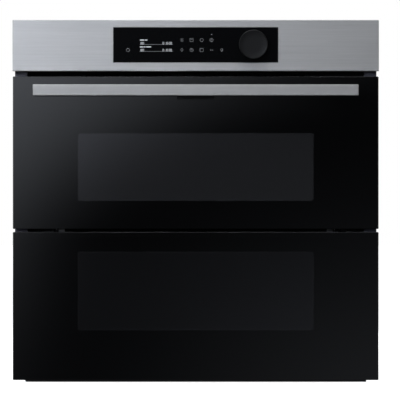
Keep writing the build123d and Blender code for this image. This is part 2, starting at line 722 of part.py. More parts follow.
with BuildPart() as control_knob:
    with BuildSketch(Plane.XZ.offset(-knob_back)):
        with Locations((KNOB_X, knob_z)):
            Circle(KNOB_R)
    extrude(amount=KNOB_H)
    fillet(control_knob.edges().group_by(Axis.Y)[0], 1.2)
    fillet(control_knob.edges().group_by(Axis.Y)[-1], 0.6)
    bore_y = (knob_back + 1 - KNOB_BORE_DEPTH, knob_back + 1)
    rod_y(KNOB_X, *bore_y, knob_z, STEM_R + RUN_FIT, mode=Mode.SUBTRACT)
control_knob.part.label = "control_knob"
export_step(control_knob.part, "parts/control_knob.step")

# ---------------------------------------------------------------- doors

window_x = WINDOW_W / 2
opening_x = window_x + FRAME_LAP
lower_opening = (LOWER_WINDOW[0] - FRAME_LAP, LOWER_WINDOW[1] + FRAME_LAP)
upper_opening = (UPPER_WINDOW[0] - FRAME_LAP, UPPER_WINDOW[1] + FRAME_LAP)
lower_frame_z = (hinge_z + KNUCKLE_R + 1.5, lower_top - 2.5)
upper_frame_z = (mid_z, upper_top - 3)
handle_z0 = upper_top - HANDLE_DROP
handle_z1 = handle_z0 + HANDLE_H
handle_y1 = face_y - HANDLE_GAP
handle_y0 = handle_y1 - HANDLE_T
post_z = (handle_z0 + handle_z1) / 2
post_x0 = HANDLE_L / 2 - POST_INSET - POST_W
post_x1 = HANDLE_L / 2 - POST_INSET
HANDLE_SCREW_R = 2.5
HANDLE_SCREW_L = 18.0
SCREW_HEAD_T = 3.0
SCREW_EDGE = (24.0, 12.0)
screw_xs = (post_x0 + SCREW_EDGE[0], post_x1 - SCREW_EDGE[1])
MID_BRACKET_W = 12.0
BRACKET_BEHIND = 11.5
BRACKET_T = 8.0
bracket_x0 = ARM_X - 2
bracket_x1 = bracket_x0 + MID_BRACKET_W
bracket_y = (mid_y + BRACKET_BEHIND, mid_y + BRACKET_BEHIND + BRACKET_T)
LOCK_X = 229.0
LOCK_ROD_R = 2.5
CRANK = 20.0
CRANK_HALF = 3.0
lock_shaft_y = glass_y + 8
lock_shaft_z = handle_z0 + 5
lock_rod_y = lock_shaft_y + CRANK - 1


def door_glass(z0, height):
    """The outer pane of one door half, with its front edges ground to a small chamfer."""
    with BuildPart() as pane:
        with Locations((0, face_y + GLASS / 2, z0 + height / 2)):
            Box(DOOR_W, GLASS, height)
        fillet(pane.edges().filter_by(Axis.Y), 1.5)
        chamfer(pane.edges().group_by(Axis.Y)[0], 0.6)
    return pane


lower_door_glass = door_glass(DOOR_Z0, LOWER_H)
lower_door_glass.part.label = "lower_door_glass"
export_step(lower_door_glass.part, "parts/lower_door_glass.step")

upper_door_glass = door_glass(upper_z0, UPPER_H)
with upper_door_glass:
    for side in sides:
        for x in screw_xs:
            rod_y(side * x, face_y - 1, glass_y + 1, post_z, HANDLE_SCREW_R, mode=Mode.SUBTRACT)
upper_door_glass.part.label = "upper_door_glass"
export_step(upper_door_glass.part, "parts/upper_door_glass.step")


def door_frame(z0, z1, opening):
    """A pressed tray, open towards the glass, whose inner face has the window opening."""
    with BuildPart() as tray:
        with BuildSketch(Plane.XZ.offset(-door_in_y)):
            with Locations((0, (z0 + z1) / 2)):
                RectangleRounded(2 * frame_x, z1 - z0, 4)
        extrude(amount=door_in_y - glass_y)
        with BuildSketch(Plane.XZ.offset(-door_in_y + DOOR_SHEET)):
            with Locations((0, (z0 + z1) / 2)):
                RectangleRounded(2 * (frame_x - DOOR_SHEET), z1 - z0 - 2 * DOOR_SHEET, 3)
        extrude(amount=door_in_y - glass_y, mode=Mode.SUBTRACT)
        with BuildSketch(Plane.XZ.offset(-door_in_y)):
            with Locations((0, (opening[0] + opening[1]) / 2)):
                RectangleRounded(2 * opening_x, opening[1] - opening[0], 12)
        extrude(amount=DOOR_SHEET, mode=Mode.SUBTRACT)
    return tray


CASE_SHEET = 2.5
case_x0 = ARM_W / 2 + SIDE_PLAY
case_x1 = case_x0 + CASE_SHEET
case_y = (glass_y + 0.5, hinge_y + 24.5)
case_top = 180.0
NOTCH_FIT = 0.4

lower_door_frame = door_frame(*lower_frame_z, lower_opening)
with lower_door_frame:
    for side in sides:
        x = side * ARM_X
        notch = case_x1 + NOTCH_FIT
        z0 = lower_frame_z[0]
        notch_y = (glass_y - 1, case_y[1] + NOTCH_FIT)
        block(x - notch, x + notch, *notch_y, z0 - 1, z0 + DOOR_SHEET + 1, mode=Mode.SUBTRACT)
        z1 = lower_frame_z[1]
        slot_x = (side * bracket_x0, side * bracket_x1)
        block(*slot_x, *bracket_y, z1 - DOOR_SHEET - 1, z1 + 1, mode=Mode.SUBTRACT)
        rod_z(side * LOCK_X, lock_rod_y, z1 - DOOR_SHEET - 1, z1 + 1, LOCK_ROD_R + 1, mode=Mode.SUBTRACT)
lower_door_frame.part.label = "lower_door_frame"
export_step(lower_door_frame.part, "parts/lower_door_frame.step")

BLOCK_GAP = 0.5
BLOCK_W = 8.5
block_x1 = bracket_x0 - BLOCK_GAP
block_x0 = block_x1 - BLOCK_W
pocket_z1 = mid_z + MID_KNUCKLE_R + 2

upper_door_frame = door_frame(*upper_frame_z, upper_opening)
with upper_door_frame:
    for side in sides:
        pocket_x = (side * (block_x0 - 0.3), side * (frame_x + 1))
        block(*pocket_x, glass_y - 1, door_in_y + 1, mid_z - 1, pocket_z1, mode=Mode.SUBTRACT)
        guide_z = (upper_frame_z[0] - 1, upper_frame_z[0] + DOOR_SHEET + 1)
        rod_z(side * LOCK_X, lock_rod_y, *guide_z, LOCK_ROD_R + RUN_FIT, mode=Mode.SUBTRACT)
upper_door_frame.part.label = "upper_door_frame"
export_step(upper_door_frame.part, "parts/upper_door_frame.step")

inner_pane_y = door_in_y - DOOR_SHEET
rail_x0 = opening_x + PANE_LAP - 2
mid_pane_y = (glass_y + inner_pane_y) / 2


def inner_panes(opening):
    """The innermost pane behind the frame's face, and the middle pane in the side rails' grooves."""
    with BuildPart() as panes:
        mid = (opening[0] + opening[1]) / 2
        height = opening[1] - opening[0]
        with BuildSketch(Plane.XZ.offset(-inner_pane_y)):
            with Locations((0, mid)):
                RectangleRounded(2 * (opening_x + PANE_LAP), height + 2 * PANE_LAP, 6)
        extrude(amount=INNER_PANE)
        with BuildSketch(Plane.XZ.offset(-mid_pane_y)):
            with Locations((0, mid)):
                RectangleRounded(2 * (rail_x0 + PANE_LAP), height + PANE_LAP, 2)
        extrude(amount=PANE)
    return panes


def glass_rails(opening):
    """Two upright plastic rails between the panes, grooved for the middle pane."""
    with BuildPart() as rails:
        z0 = opening[0] - PANE_LAP
        z1 = opening[1] + PANE_LAP
        for side in sides:
            x0 = side * rail_x0
            block(x0, side * (rail_x0 + RAIL_W), glass_y, inner_pane_y - INNER_PANE, z0, z1)
            groove_x = side * (rail_x0 + PANE_LAP)
            groove_y = (mid_pane_y - PANE, mid_pane_y)
            block(x0 - side, groove_x, *groove_y, z0 - 1, z1 + 1, mode=Mode.SUBTRACT)
    return rails


lower_inner_panes = inner_panes(lower_opening)
lower_inner_panes.part.label = "lower_inner_panes"
export_step(lower_inner_panes.part, "parts/lower_inner_panes.step")

upper_inner_panes = inner_panes(upper_opening)
upper_inner_panes.part.label = "upper_inner_panes"
export_step(upper_inner_panes.part, "parts/upper_inner_panes.step")

lower_glass_rails = glass_rails(lower_opening)
lower_glass_rails.part.label = "lower_glass_rails"
export_step(lower_glass_rails.part, "parts/lower_glass_rails.step")

LOCK_SHAFT_R = 3.5

upper_glass_rails = glass_rails(upper_opening)
with upper_glass_rails:
    for side in sides:
        rail_x = (side * rail_x0, side * (rail_x0 + RAIL_W))
        rail_top = (upper_opening[1] + PANE_LAP, lock_shaft_z + 9)
        block(*rail_x, glass_y, lock_shaft_y + 8, *rail_top)
        bore_x = (rail_x[0] - side, rail_x[1] + side)
        rod_x(*bore_x, lock_shaft_y, lock_shaft_z, LOCK_SHAFT_R + RUN_FIT, mode=Mode.SUBTRACT)
upper_glass_rails.part.label = "upper_glass_rails"
export_step(upper_glass_rails.part, "parts/upper_glass_rails.step")

with BuildPart() as door_top_trim:
    trim_z0 = upper_frame_z[1]
    block(-frame_x, frame_x, glass_y, door_in_y, trim_z0, upper_top - 0.8)
    block(-duct_x, duct_x, glass_y + 8, door_in_y - 6, trim_z0 + 1, upper_top, mode=Mode.SUBTRACT)
door_top_trim.part.label = "door_top_trim"
export_step(door_top_trim.part, "parts/door_top_trim.step")

with BuildPart() as mid_seal:
    seal_x = block_x0 - 1
    block(-seal_x, seal_x, glass_y, glass_y + 31, upper_z0 + 3, mid_z)
    for side in sides:
        rod_z(side * LOCK_X, lock_rod_y, upper_z0, mid_z + 1, LOCK_ROD_R + 1, mode=Mode.SUBTRACT)
mid_seal.part.label = "mid_seal"
export_step(mid_seal.part, "parts/mid_seal.step")

# ---------------------------------------------------------------- hinges

RECEIVER_L = 90.0
receiver_y1 = frame_y + RECEIVER_L
receiver_z1 = wool_z0 - 2

with BuildPart() as hinge_arms:
    for side in sides:
        x0 = side * ARM_X - ARM_W / 2
        x1 = side * ARM_X + ARM_W / 2
        block(x0, x1, hinge_y, receiver_y1 - 8, hinge_z - KNUCKLE_R, hinge_z + KNUCKLE_R)
        rod_x(x0, x1, hinge_y, hinge_z, KNUCKLE_R)
        rod_x(x0 - 1, x1 + 1, hinge_y, hinge_z, PIN_R + RUN_FIT, mode=Mode.SUBTRACT)
hinge_arms.part.label = "hinge_arms"
export_step(hinge_arms.part, "parts/hinge_arms.step")

with BuildPart() as hinge_receivers:
    for side in sides:
        x0 = side * ARM_X - ARM_W / 2
        x1 = side * ARM_X + ARM_W / 2
        arm_z = (hinge_z - KNUCKLE_R, hinge_z + KNUCKLE_R)
        block(x0 - 4, x1 + 4, frame_y, receiver_y1, SHEET, receiver_z1)
        block(x0, x1, frame_y - 1, receiver_y1 - 8, *arm_z, mode=Mode.SUBTRACT)
hinge_receivers.part.label = "hinge_receivers"
export_step(hinge_receivers.part, "parts/hinge_receivers.step")

SEAT_Z = 48.0
SPRING_TOP = 150.0
ROD_R = 2.0
ROD_TRAVEL = 12.0
rod_y_pos = hinge_y + 12

with BuildPart() as hinge_cases:
    for side in sides:
        x = side * ARM_X
        for face in sides:
            cheek = (x + face * case_x0, x + face * case_x1)
            block(*cheek, *case_y, lower_frame_z[0] + 1, case_top)
            block(*cheek, case_y[0], hinge_y + 8, hinge_z - 6.5, lower_frame_z[0] + 1)
        block(x - case_x0, x + case_x0, case_y[0], case_y[0] + 2, lower_frame_z[0] + 1, case_top)
        block(x - case_x0, x + case_x0, *case_y, SEAT_Z - 2, SEAT_Z)
        rod_z(x, rod_y_pos, SEAT_Z - 3, SEAT_Z + 1, ROD_R + RUN_FIT, mode=Mode.SUBTRACT)
        rod_x(x - case_x1 - 1, x + case_x1 + 1, hinge_y, hinge_z, PIN_R, mode=Mode.SUBTRACT)
hinge_cases.part.label = "hinge_cases"
export_step(hinge_cases.part, "parts/hinge_cases.step")

with BuildPart() as hinge_pins:
    for side in sides:
        x = side * ARM_X
        rod_x(x - case_x1 - 0.8, x + case_x1 + 0.8, hinge_y, hinge_z, PIN_R)
        rod_x(side * (block_x0 + 0.5), side * bracket_x1, mid_y, mid_z, PIN_R)
hinge_pins.part.label = "hinge_pins"
export_step(hinge_pins.part, "parts/hinge_pins.step")

SPRING_R = 4.0
SPRING_WALL = 1.4

with BuildPart() as door_springs:
    for side in sides:
        rod_z(side * ARM_X, rod_y_pos, SEAT_Z, SPRING_TOP, SPRING_R)
        spring_in = SPRING_R - SPRING_WALL
        rod_z(side * ARM_X, rod_y_pos, SEAT_Z - 1, SPRING_TOP + 1, spring_in, mode=Mode.SUBTRACT)
door_springs.part.label = "door_springs"
export_step(door_springs.part, "parts/door_springs.step")

with BuildPart() as spring_rods:
    for side in sides:
        rod_z(side * ARM_X, rod_y_pos, hinge_z + KNUCKLE_R + 3 + ROD_TRAVEL, SPRING_TOP, ROD_R)
        rod_z(side * ARM_X, rod_y_pos, SPRING_TOP, SPRING_TOP + 3, SPRING_R - 0.3)
spring_rods.part.label = "spring_rods"
export_step(spring_rods.part, "parts/spring_rods.step")

with BuildPart() as mid_hinge_brackets:
    for side in sides:
        x0 = side * bracket_x0
        x1 = side * bracket_x1
        block(x0, x1, *bracket_y, lower_top - 44, mid_z + MID_KNUCKLE_R)
        block(x0, x1, mid_y, bracket_y[1], mid_z - MID_KNUCKLE_R, mid_z + MID_KNUCKLE_R)
        rod_x(x0, x1, mid_y, mid_z, MID_KNUCKLE_R)
        block(x0, x1, bracket_y[1], inner_pane_y, lower_top - 44, lower_top - 34)
        rod_x(x0 - side, x1 + side, mid_y, mid_z, PIN_R, mode=Mode.SUBTRACT)
mid_hinge_brackets.part.label = "mid_hinge_brackets"
export_step(mid_hinge_brackets.part, "parts/mid_hinge_brackets.step")

with BuildPart() as mid_hinge_blocks:
    for side in sides:
        x0 = side * block_x0
        x1 = side * block_x1
        block(x0, x1, glass_y, inner_pane_y, pocket_z1 + 0.5, pocket_z1 + 50)
        block(x0, x1, glass_y, mid_y + 6, mid_z - 6, pocket_z1 + 1)
        rod_x(x0 - side, x1 + side, mid_y, mid_z, PIN_R + RUN_FIT, mode=Mode.SUBTRACT)
mid_hinge_blocks.part.label = "mid_hinge_blocks"
export_step(mid_hinge_blocks.part, "parts/mid_hinge_blocks.step")

# ---------------------------------------------------------------- handle, lever and lock

with BuildPart() as handle_bar:
    with Locations((0, (handle_y0 + handle_y1) / 2, post_z)):
        Box(HANDLE_L, HANDLE_T, HANDLE_H)
    fillet(handle_bar.edges().group_by(Axis.Y)[0], 1.0)
handle_bar.part.label = "handle_bar"
export_step(handle_bar.part, "parts/handle_bar.step")

with BuildPart() as handle_posts:
    for side in sides:
        post_mid = side * (post_x0 + post_x1) / 2
        with Locations((post_mid, (handle_y1 + face_y) / 2, post_z)):
            Box(POST_W, HANDLE_GAP, POST_H)
    fillet(handle_posts.edges().filter_by(Axis.Y), 2)
    for side in sides:
        for x in screw_xs:
            rod_y(side * x, face_y - HANDLE_SCREW_L, face_y + 1, post_z, HANDLE_SCREW_R, mode=Mode.SUBTRACT)
handle_posts.part.label = "handle_posts"
export_step(handle_posts.part, "parts/handle_posts.step")

with BuildPart() as handle_screws:
    for side in sides:
        for x in screw_xs:
            rod_y(side * x, face_y - HANDLE_SCREW_L, glass_y, post_z, HANDLE_SCREW_R)
            rod_y(side * x, glass_y, glass_y + SCREW_HEAD_T, post_z, 2 * HANDLE_SCREW_R)
handle_screws.part.label = "handle_screws"
export_step(handle_screws.part, "parts/handle_screws.step")

lever_half = LEVER_W / 2
pivot_y = face_y - 5.5
pivot_z = handle_z0 + 4.5
LEVER_PIN_R = 1.5
LEVER_DROP = 4.9
EAR_W = 3.5
EAR_GAP = 0.5
HOUSING_REACH = 20.0
lever_y0 = pivot_y - LEVER_REACH + 1
lever_z0 = handle_z0 - LEVER_DROP

with BuildPart() as release_lever:
    with BuildSketch(Plane.YZ.offset(-lever_half)):
        with BuildLine():
            Polyline(
                (pivot_y + 2.5, pivot_z + 2.5),
                (pivot_y - 3, pivot_z + 2.5),
                (pivot_y - 3, lever_z0 + 4),
                (lever_y0 + 0.8, lever_z0 + 4),
                (lever_y0, lever_z0),
                (pivot_y + 1, lever_z0),
                (pivot_y + 2.5, lever_z0 + 3),
                close=True,
            )
        make_face()
    extrude(amount=LEVER_W)
    rod_x(-lever_half - 1, lever_half + 1, pivot_y, pivot_z, LEVER_PIN_R + RUN_FIT, mode=Mode.SUBTRACT)
release_lever.part.label = "release_lever"
export_step(release_lever.part, "parts/release_lever.step")

with BuildPart() as lever_housing:
    ear_x0 = lever_half + EAR_GAP
    ear_x1 = ear_x0 + EAR_W
    ear_z = (handle_z0 + 0.5, handle_z0 + 11)
    for side in sides:
        block(side * ear_x0, side * ear_x1, pivot_y - 3.5, face_y, *ear_z)
    block(-ear_x1, ear_x1, face_y - 2, face_y, ear_z[0] + 1, ear_z[1] + 3)
    block(-ear_x1, ear_x1, face_y - HOUSING_REACH, face_y, ear_z[1], ear_z[1] + 3)
    rod_x(-ear_x1, ear_x1, pivot_y, pivot_z, LEVER_PIN_R)
lever_housing.part.label = "lever_housing"
export_step(lever_housing.part, "parts/lever_housing.step")

with BuildPart() as lock_shaft:
    rod_x(-LOCK_X - CRANK_HALF, LOCK_X + CRANK_HALF, lock_shaft_y, lock_shaft_z, LOCK_SHAFT_R)
    for side in sides:
        x = side * LOCK_X
        crank_y = lock_shaft_y + CRANK + 1
        crank_z = (lock_shaft_z - CRANK_HALF, lock_shaft_z + CRANK_HALF)
        block(x - CRANK_HALF, x + CRANK_HALF, lock_shaft_y, crank_y, *crank_z)
lock_shaft.part.label = "lock_shaft"
export_step(lock_shaft.part, "parts/lock_shaft.step")

LOCK_GAP = 0.6

with BuildPart() as lock_rods:
    for side in sides:
        rod_top = lock_shaft_z - CRANK_HALF - LOCK_GAP
        rod_z(side * LOCK_X, lock_rod_y, lower_top - 1.3, rod_top, LOCK_ROD_R)
lock_rods.part.label = "lock_rods"
export_step(lock_rods.part, "parts/lock_rods.step")
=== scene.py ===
import math

import bmesh
import bpy
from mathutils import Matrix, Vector


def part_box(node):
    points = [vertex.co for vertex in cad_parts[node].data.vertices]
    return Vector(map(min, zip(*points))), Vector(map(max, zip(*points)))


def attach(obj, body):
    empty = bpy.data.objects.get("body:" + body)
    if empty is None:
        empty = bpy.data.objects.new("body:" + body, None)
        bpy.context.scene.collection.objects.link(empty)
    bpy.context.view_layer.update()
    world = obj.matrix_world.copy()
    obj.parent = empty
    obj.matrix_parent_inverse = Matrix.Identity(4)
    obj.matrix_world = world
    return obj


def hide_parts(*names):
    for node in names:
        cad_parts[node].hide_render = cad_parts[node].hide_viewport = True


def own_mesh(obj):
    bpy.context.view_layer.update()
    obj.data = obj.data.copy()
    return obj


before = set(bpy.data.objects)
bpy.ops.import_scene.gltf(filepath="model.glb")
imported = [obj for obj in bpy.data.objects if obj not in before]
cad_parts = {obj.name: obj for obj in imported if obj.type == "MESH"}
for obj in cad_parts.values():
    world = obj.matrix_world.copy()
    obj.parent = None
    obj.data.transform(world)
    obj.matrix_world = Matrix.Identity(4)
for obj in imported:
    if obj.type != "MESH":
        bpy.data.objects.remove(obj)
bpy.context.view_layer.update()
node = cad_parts
SIDES = (-1, 1)


def corners(name):
    """A node's box as (x0, x1), (y0, y1), (z0, z1)."""
    low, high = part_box(name)
    return (low[0], high[0]), (low[1], high[1]), (low[2], high[2])


def spaced(span, inset, count):
    """Evenly spaced positions along a span, with the first and last one inset from its ends."""
    start, end = span[0] + inset, span[1] - inset
    return [start + (end - start) * index / (count - 1) for index in range(count)]


# ---------------------------------------------------------------- camera and studio

panel_x, panel_y, panel_z = corners("control_fascia")
lower_x, _, lower_z = corners("lower_door_glass")
upper_x, upper_y, upper_z = corners("upper_door_glass")
face_y = panel_y[0]
CAMERA_DISTANCE = 10.0
FRAME_SHARE = 1.0917  # the picture's width over the panel's
SENSOR = 36.0
OFF_CENTRE = 0.007

camera_data = bpy.data.cameras.new("camera")
camera = bpy.data.objects.new("camera", camera_data)
bpy.context.scene.collection.objects.link(camera)
camera.location = (OFF_CENTRE, face_y - CAMERA_DISTANCE, (lower_z[0] + panel_z[1]) / 2)
camera.rotation_euler = (math.radians(90), 0, 0)
camera_data.sensor_width = SENSOR
camera_data.lens = SENSOR * CAMERA_DISTANCE / ((panel_x[1] - panel_x[0]) * FRAME_SHARE)
camera_data.clip_end = 100
bpy.context.scene.camera = camera
bpy.context.scene.view_settings.view_transform = "Standard"


class Nodes:
    """A short way to write node trees: each call adds a node, links its inputs and returns its output."""

    def __init__(self, tree):
        self.tree = tree

    def add(self, kind, output=0, settings=None, **inputs):
        """Add a node. An input named by its socket, with _ for a space, is linked or set."""
        made = self.tree.nodes.new(kind)
        for key, value in (settings or {}).items():
            setattr(made, key, value)
        for key, value in inputs.items():
            spot = int(key[1:]) if key[0] == "i" and key[1:].isdigit() else key.replace("_", " ")
            self.put(made.inputs[spot], value)
        return made.outputs[output]

    def put(self, socket, value):
        if isinstance(value, bpy.types.NodeSocket):
            self.tree.links.new(value, socket)
        else:
            socket.default_value = value

    def math(self, operation, a, b=0.0, c=0.0, clamp=False):
        settings = {"operation": operation, "use_clamp": clamp}
        return self.add("ShaderNodeMath", 0, settings, i0=a, i1=b, i2=c)

    def place(self, scale=(1, 1, 1), offset=(0, 0, 0)):
        """Object coordinates, which are metres in the shared frame, stretched by scale."""
        spot = self.add("ShaderNodeTexCoord", 3)
        return self.add("ShaderNodeMapping", 0, None, Vector=spot, Scale=scale, Location=offset)

    def axis(self, index):
        """One object coordinate, in metres."""
        return self.add("ShaderNodeSeparateXYZ", index, None, Vector=self.add("ShaderNodeTexCoord", 3))

    def noise(self, scale, stretch=(1, 1, 1), detail=3.0, rough=0.5):
        where = self.place(stretch)
        look = {"Scale": scale, "Detail": detail, "Roughness": rough}
        return self.add("ShaderNodeTexNoise", 0, None, Vector=where, **look)

    def ramp(self, value, *stops):
        """A colour ramp through (position, grey or colour) stops."""
        out = self.add("ShaderNodeValToRGB", 0, None, Fac=value)
        ramp = out.node.color_ramp
        while len(ramp.elements) < len(stops):
            ramp.elements.new(1.0)
        for element, (spot, colour) in zip(ramp.elements, stops):
            element.position = spot
            element.color = (*colour, 1) if isinstance(colour, tuple) else (colour, colour, colour, 1)
        return out

    def between(self, value, low, high):
        """Map 0..1 to low..high."""
        return self.add("ShaderNodeMapRange", 0, None, Value=value, To_Min=low, To_Max=high)

    def bump(self, height, strength, distance):
        return self.add("ShaderNodeBump", 0, None, Height=height, Strength=strength, Distance=distance)


def principled(name, **sockets):
    """A material with one Principled shader; returns it, its node helper and the shader."""
    material = bpy.data.materials.new(name)
    material.use_nodes = True
    nodes = Nodes(material.node_tree)
    shader = material.node_tree.nodes["Principled BSDF"]
    for key, value in sockets.items():
        nodes.put(shader.inputs[key.replace("_", " ")], value)
    return material, nodes, shader


def emission_card(name, size, location, rotation, radiance):
    """A card that lights and is reflected, and that the camera doesn't see. radiance makes its strength."""
    mesh = bpy.data.meshes.new(name)
    w, h = size[0] / 2, size[1] / 2
    mesh.from_pydata([(-w, -h, 0), (w, -h, 0), (w, h, 0), (-w, h, 0)], [], [(0, 1, 2, 3)])
    card = bpy.data.objects.new(name, mesh)
    bpy.context.scene.collection.objects.link(card)
    card.location = location
    card.rotation_euler = rotation
    card.visible_camera = False
    card.visible_shadow = False
    material = bpy.data.materials.new(name)
    material.use_nodes = True
    nodes = Nodes(material.node_tree)
    material.node_tree.nodes.clear()
    glow = nodes.add("ShaderNodeEmission", 0, None, Color=(0.945, 1.0, 1.11, 1), Strength=radiance(nodes))
    out = material.node_tree.nodes.new("ShaderNodeOutputMaterial")
    material.node_tree.links.new(glow, out.inputs["Surface"])
    mesh.materials.append(material)
    return card


CARD_Y = -8.0
CARD_CENTRE_Z = 1.0
# Glows are placed by where the door's glass reflects them, so they are spread by REACH about camera height
REACH = 1 + (face_y - CARD_Y) / CAMERA_DISTANCE
GLOW = 1.96
LOW_GLOW = 0.27
BAND = 0.21
BAND_Z = 1.2
BAND_FALL = 2.15
BAND_LEFT = -2.0


def on_front(nodes):
    """Where the door's glass shows a point of the card, as x and z on the oven's front."""
    level = camera.location.z
    x = nodes.math("DIVIDE", nodes.axis(0), REACH)
    z = nodes.math("DIVIDE", nodes.math("ADD", nodes.axis(1), CARD_CENTRE_Z - level), REACH)
    return x, nodes.math("ADD", z, level)


def soft_spot(nodes, spot, centre, strength, spread_x, spread_z):
    """A glow that fades like a bell curve; each spread is a squared width on the oven's front."""
    x = nodes.math("SUBTRACT", spot[0], centre[0])
    z = nodes.math("SUBTRACT", spot[1], centre[1])
    wide = nodes.math("DIVIDE", nodes.math("MULTIPLY", x, x), spread_x)
    tall = nodes.math("DIVIDE", nodes.math("MULTIPLY", z, z), spread_z)
    fall = nodes.math("MULTIPLY", nodes.math("ADD", wide, tall), -1.0)
    return nodes.math("MULTIPLY", nodes.math("EXPONENT", fall), strength)


def front_radiance(nodes):
    """The studio in front: a glow at the upper left that narrows downwards, a faint one low on the right,
    and a band high up that is stronger at the left, which only the brushed steel picks up."""
    spot = on_front(nodes)
    rise = nodes.math("MULTIPLY", nodes.math("SUBTRACT", spot[1], 0.48), 8.0)
    narrow = nodes.math("MULTIPLY", nodes.math("EXPONENT", rise), 0.11)
    narrow = nodes.math("MINIMUM", nodes.math("MAXIMUM", narrow, 0.015), 0.3)
    main = soft_spot(nodes, spot, (-0.41, 0.64), GLOW, narrow, 0.16)
    low = soft_spot(nodes, spot, (0.40, -0.10), LOW_GLOW, 0.16, 0.09)
    across = nodes.math("MAXIMUM", nodes.axis(0), BAND_LEFT)
    left = nodes.math("EXPONENT", nodes.math("MULTIPLY", across, -BAND_FALL))
    rise_z = {"From_Min": BAND_Z - CARD_CENTRE_Z, "From_Max": BAND_Z - CARD_CENTRE_Z + 0.5}
    high = nodes.add("ShaderNodeMapRange", 0, None, Value=nodes.axis(1), **rise_z)
    band = nodes.math("MULTIPLY", nodes.math("MULTIPLY", left, high), BAND)
    return nodes.math("ADD", nodes.math("ADD", nodes.math("ADD", main, low), 0.01), band)


emission_card("front_card", (9, 7), (0, CARD_Y, CARD_CENTRE_Z), (math.radians(90), 0, 0), front_radiance)


def soft_light(name, size, location, target, power):
    """A rectangular area light that looks at a target point."""
    data = bpy.data.lights.new(name, "AREA")
    data.shape = "RECTANGLE"
    data.size, data.size_y = size
    data.energy = power
    lamp = bpy.data.objects.new(name, data)
    bpy.context.scene.collection.objects.link(lamp)
    lamp.location = location
    lamp.rotation_euler = (Vector(target) - Vector(location)).to_track_quat("-Z", "Y").to_euler()
    lamp.visible_camera = False
    return lamp


AIM = (0, 0, 0.3)
soft_light("overhead", (2.4, 1.6), (-0.3, -0.9, 2.4), AIM, 34)
soft_light("left_side", (1.4, 2.0), (-3.2, -0.6, 1.1), AIM, 26)
soft_light("right_side", (1.4, 2.0), (3.2, 0.4, 1.1), AIM, 14)
soft_light("rear", (2.4, 1.8), (0.6, 3.4, 1.4), AIM, 30)

world = bpy.data.worlds.new("studio")
world.use_nodes = True
bpy.context.scene.world = world
world_nodes = Nodes(world.node_tree)
world.node_tree.nodes.clear()
seen = world_nodes.add("ShaderNodeBackground", 0, None, Color=(1, 1, 1, 1), Strength=1.0)
direction = world_nodes.add("ShaderNodeTexCoord", 0)
height = world_nodes.add("ShaderNodeSeparateXYZ", 2, None, Vector=direction)
sky_steps = {"From_Min": -0.4, "From_Max": 0.9, "To_Min": 0.16, "To_Max": 0.5}
sky = world_nodes.add("ShaderNodeMapRange", 0, None, Value=height, **sky_steps)
lit = world_nodes.add("ShaderNodeBackground", 0, None, Color=(0.96, 0.98, 1, 1), Strength=sky)
camera_ray = world_nodes.add("ShaderNodeLightPath", 0)
mixed = world_nodes.add("ShaderNodeMixShader", 0, None, i0=camera_ray, i1=lit, i2=seen)
world_out = world.node_tree.nodes.new("ShaderNodeOutputWorld")
world.node_tree.links.new(mixed, world_out.inputs["Surface"])

FLOOR_HALF = 30.0
floor_mesh = bpy.data.meshes.new("floor")
square = [(x * FLOOR_HALF, y * FLOOR_HALF, 0) for x, y in ((-1, -1), (1, -1), (1, 1), (-1, 1))]
floor_mesh.from_pydata(square, [], [(0, 1, 2, 3)])
floor = bpy.data.objects.new("floor", floor_mesh)
bpy.context.scene.collection.objects.link(floor)
floor_material, floor_nodes, floor_shader = principled("floor_pale", Roughness=0.9, Specular_IOR_Level=0.1)
speckle = floor_nodes.ramp(floor_nodes.noise(6.0), (0.3, 0.78), (0.7, 0.82))
floor_nodes.put(floor_shader.inputs["Base Color"], speckle)
floor_nodes.put(floor_shader.inputs["Emission Color"], (1, 1, 1, 1))
floor_nodes.put(floor_shader.inputs["Emission Strength"], 0.8)
floor_mesh.materials.append(floor_material)
floor.visible_glossy = False
floor.visible_diffuse = False
floor.location.z = -0.0002

# ---------------------------------------------------------------- materials


def brushed_metal(name, colour, rough, along="X", grain=1.0):
    """Metal with a fine directional brush: streaks stretched along one axis vary tone, gloss and height."""
    material, nodes, shader = principled(name, Metallic=1.0, Anisotropic=0.7)
    shader.inputs["Anisotropic Rotation"].default_value = 0.25 if along != "Z" else 0.0
    stretch = {"X": (0.5, 55, 55), "Y": (55, 0.5, 55), "Z": (55, 55, 0.5)}[along]
    fine = nodes.noise(22.0, stretch, 4.0, 0.7)
    broad = nodes.noise(3.0, tuple(s * 0.12 for s in stretch), 2.0)
    both = nodes.math("ADD", nodes.math("MULTIPLY", fine, 0.75), nodes.math("MULTIPLY", broad, 0.25))
    dark = tuple(c * (1 - 0.16 * grain) for c in colour)
    light = tuple(min(1, c * (1 + 0.12 * grain)) for c in colour)
    nodes.put(shader.inputs["Base Color"], nodes.ramp(both, (0.3, dark), (0.7, light)))
    nodes.put(shader.inputs["Roughness"], nodes.between(both, rough - 0.07, rough + 0.09))
    nodes.put(shader.inputs["Normal"], nodes.bump(fine, 0.22 * grain, 0.0002))
    return material


